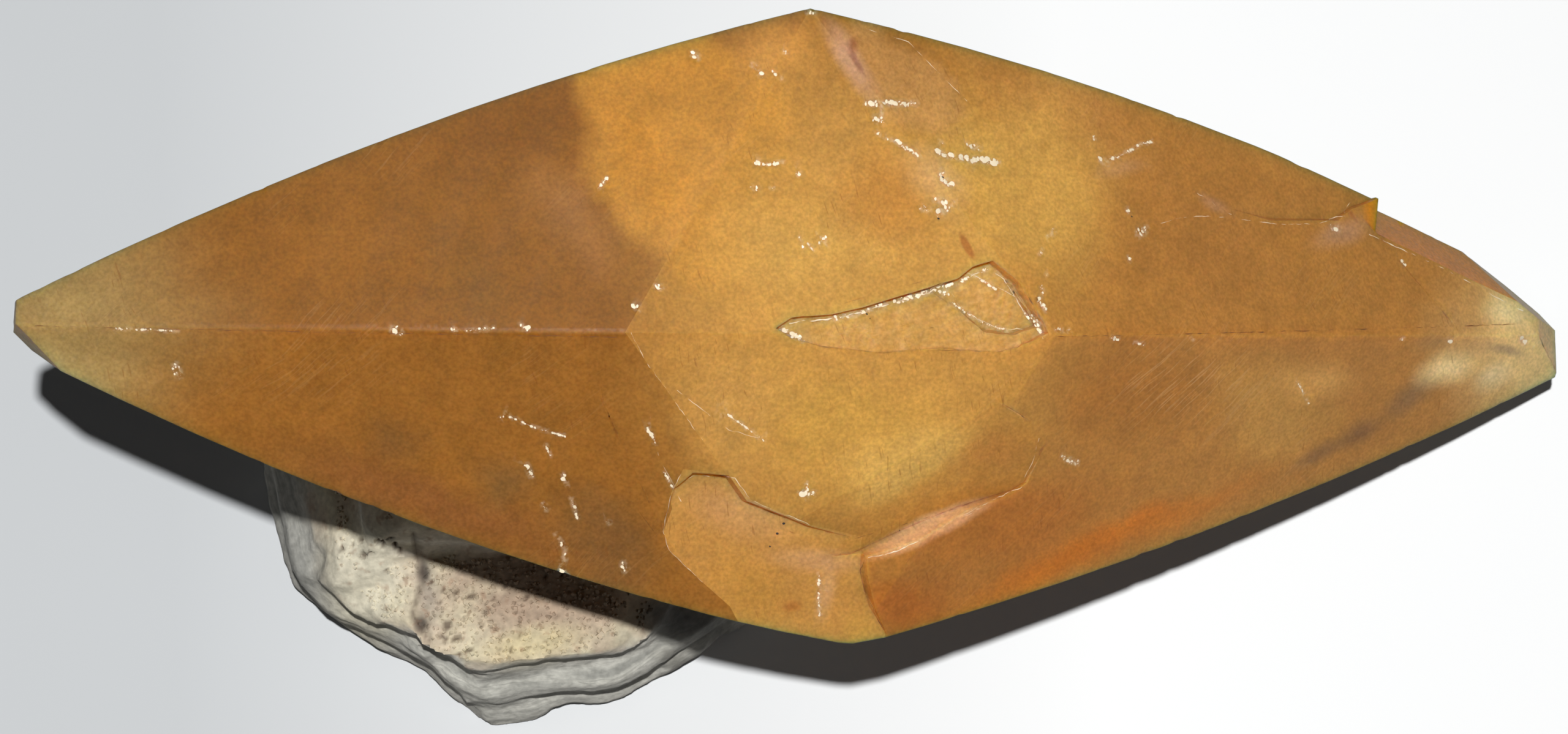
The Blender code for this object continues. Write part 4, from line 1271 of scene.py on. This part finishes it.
def layered_grey(tree, place):
    """The weathered sides: pale and dark grey layers, with a thin dark parting between some."""
    flat = {"Vector": place, "Scale": (8.0, 8.0, LAYER / 2)}
    flat = add(tree, "ShaderNodeMapping", flat, vector_type="TEXTURE")
    bands = add(tree, "ShaderNodeTexNoise", {"Vector": flat, "Scale": 1.0, "Detail": 3.0})
    pale = add(tree, "ShaderNodeMapRange", {"Value": bands, "From Min": 0.36, "From Max": 0.6})
    rising = {"Value": bands, "From Min": 0.56, "From Max": 0.6, "To Max": 0.4}
    falling = {"Value": bands, "From Min": 0.64, "From Max": 0.6}
    parting = {0: add(tree, "ShaderNodeMapRange", rising), 1: add(tree, "ShaderNodeMapRange", falling)}
    parting = add(tree, "ShaderNodeMath", parting, operation="MULTIPLY")
    coats = ((pale, colour("#d2d0c5")), (parting, colour("#6d6c67")))
    return coats_over(tree, colour("#a5a49c"), coats)


def rock_shade(tree, place, blotches, rust):
    height = add(tree, "ShaderNodeSeparateXYZ", {0: place}, output="Z")
    height = {0: blotches, 1: 5.0, 2: height}
    height = add(tree, "ShaderNodeMath", height, operation="MULTIPLY_ADD")
    pale = add(tree, "ShaderNodeMapRange", {"Value": blotches, "From Min": 0.35, "From Max": 0.65})
    cream = coats_over(tree, colour("#d2c8ab"), [(pale, colour("#c4b39c"))])
    on_top = add(tree, "ShaderNodeMapRange", {"Value": height, "From Min": 11.5, "From Max": 14.5})
    # Steep faces are painted paler: painted light, for the light that the paper throws back onto the
    # sides.
    steep_painted_light = {"Value": marked_share(tree, "steep_painted_light", 1.0), "From Min": 0.3, "From Max": 0.8, "To Max": 0.8}
    coats = [(on_top, cream), (add(tree, "ShaderNodeMapRange", steep_painted_light), colour("#e6e3d8"))]
    thinner = {"Value": blotches, "From Min": 0.2, "From Max": 0.5, "To Min": 0.6}
    thinner = add(tree, "ShaderNodeMapRange", thinner)
    for patch, tint in zone_coats(tree, ROCK_TINTS, place, place):
        patch = add(tree, "ShaderNodeMath", {0: patch, 1: thinner}, operation="MULTIPLY")
        coats.append((patch, tint))
    rusty = add(tree, "ShaderNodeMapRange", {"Value": rust, "From Min": 0.6, "From Max": 0.72})
    high = {"Value": height, "From Min": 13.0, "From Max": 15.0, "To Max": 0.45}
    rusty = {0: rusty, 1: add(tree, "ShaderNodeMapRange", high)}
    rusty = add(tree, "ShaderNodeMath", rusty, operation="MULTIPLY")
    return coats_over(tree, layered_grey(tree, place), (*coats, (rusty, colour("#8a6248"))))


def rock_material():
    # Sugary dolostone, broken by hand: matt, gritty, cream where fresh and grey where weathered.
    material, tree, shader = new_material("sugary_dolostone")
    place = in_mm(tree, Vector(), (0, 0, 0))
    blotches, grit, rust = (
        add(tree, "ShaderNodeTexNoise", {"Vector": place, "Scale": 1 / size, "Detail": detail})
        for size, detail in (BLOTCHES, GRIT, RUST)
    )
    mottle = {"Value": grit, "From Min": 0.3, "From Max": 0.7, "To Min": 0.8, "To Max": 1.14}
    mottle = add(tree, "ShaderNodeMapRange", mottle)
    shade = {0: rock_shade(tree, place, blotches, rust), "Scale": mottle}
    shade = add(tree, "ShaderNodeVectorMath", shade, operation="SCALE")
    shade = coats_over(tree, shade, [(marked_share(tree, "pit", 0.8), colour("#54453a"))])
    relief = {"Height": grit, "Strength": 0.5, "Distance": GRIT_RELIEF * MM}
    tree.links.new(shade, shader.inputs["Base Color"])
    tree.links.new(add(tree, "ShaderNodeBump", relief), shader.inputs["Normal"])
    shader.inputs["Roughness"].default_value = 0.8
    shader.inputs["Specular IOR Level"].default_value = 0.3
    return material


dolostone = rock_material()
rock.data.materials.clear()
rock.data.materials.append(dolostone)
print("rock shader:", len(dolostone.node_tree.nodes), "nodes")

# %% [markdown]
# Sugar-like grains cover the rock's level top. Geometry Nodes scatter little rhombs, the natural
# shape of a dolomite grain, wherever the stored value allows them. The rock's own finish dresses
# them, so they differ from the skin only in how they catch the light. Grains of a tenth to a
# third of a millimetre are real, and these lie between the two.

# %% Dolomite grains
GRAIN_SIDE, SMALLEST_GRAIN = 0.24, 0.45
GRAINS_PER_MM2 = 7.0
DRAWN_OUT = 0.18
FULL_TURN = 6.28


def grain_shape():
    """A rhomb: a cube drawn out along one diagonal."""
    made = bmesh.new()
    bmesh.ops.create_cube(made, size=1.0)
    diagonal = Vector((1, 1, 1)).normalized()
    for vertex in made.verts:
        vertex.co += diagonal * vertex.co.dot(diagonal) * DRAWN_OUT
    return mesh_object(made, "grain_shape")


def grain_tree(grain, material):
    numbers = dict.fromkeys(("Density", "Side"), "NodeSocketFloat")
    tree, identifiers, start = new_tree("dolomite_grains", numbers | {"Seed": "NodeSocketInt"})
    seed = start.outputs["Seed"]
    allowed = add(tree, "GeometryNodeInputNamedAttribute", {"Name": "grains"}, data_type="FLOAT")
    density = {0: allowed, 1: start.outputs["Density"]}
    density = add(tree, "ShaderNodeMath", density, operation="MULTIPLY")
    points = {"Mesh": start.outputs["Geometry"], "Density": density, "Seed": seed}
    points = add(tree, "GeometryNodeDistributePointsOnFaces", points)
    turned = {0: (0, 0, 0), 1: (FULL_TURN, FULL_TURN, FULL_TURN), "Seed": seed}
    turned = add(tree, "FunctionNodeRandomValue", turned, data_type="FLOAT_VECTOR")
    share = {2: SMALLEST_GRAIN, 3: 1.0, "Seed": seed}
    share = add(tree, "FunctionNodeRandomValue", share, output=1)
    scale = {0: share, 1: start.outputs["Side"]}
    scale = add(tree, "ShaderNodeMath", scale, operation="MULTIPLY")
    body = add(tree, "GeometryNodeObjectInfo", {"Object": grain}, output="Geometry")
    placed = {"Points": points, "Instance": body, "Rotation": turned, "Scale": scale}
    finish_tree(tree, add(tree, "GeometryNodeInstanceOnPoints", placed), material)
    return tree, identifiers


skin = rock.copy()
skin.data = rock.data.copy()
bpy.context.collection.objects.link(skin)
grain = grain_shape()
tree, sockets = grain_tree(grain, dolostone)
settings = {"Density": GRAINS_PER_MM2, "Side": GRAIN_SIDE, "Seed": 5}
values = {sockets[label]: value for label, value in settings.items()}
grains = evaluated_piece(skin, tree, values, "dolomite_grains")
bpy.data.objects.remove(grain)
for piece in (rock, grains):
    piece.data.transform(Matrix.Scale(MM, 4))
    keep_in_box(piece, "matrix_rock")
print("grains:", len(grains.data.polygons), "faces")

# %% [markdown]
# Last, each piece is tied to the one body of the model, and the two CAD bodies are hidden.

# %% Hand over
SLOTS = {"honey_calcite": (crystal, splinters, specks, *threads), "cream_dolostone": (rock, grains)}
for slot, pieces in SLOTS.items():
    for piece in pieces:
        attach(piece, "root")
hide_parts("calcite_crystal")
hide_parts("matrix_rock")
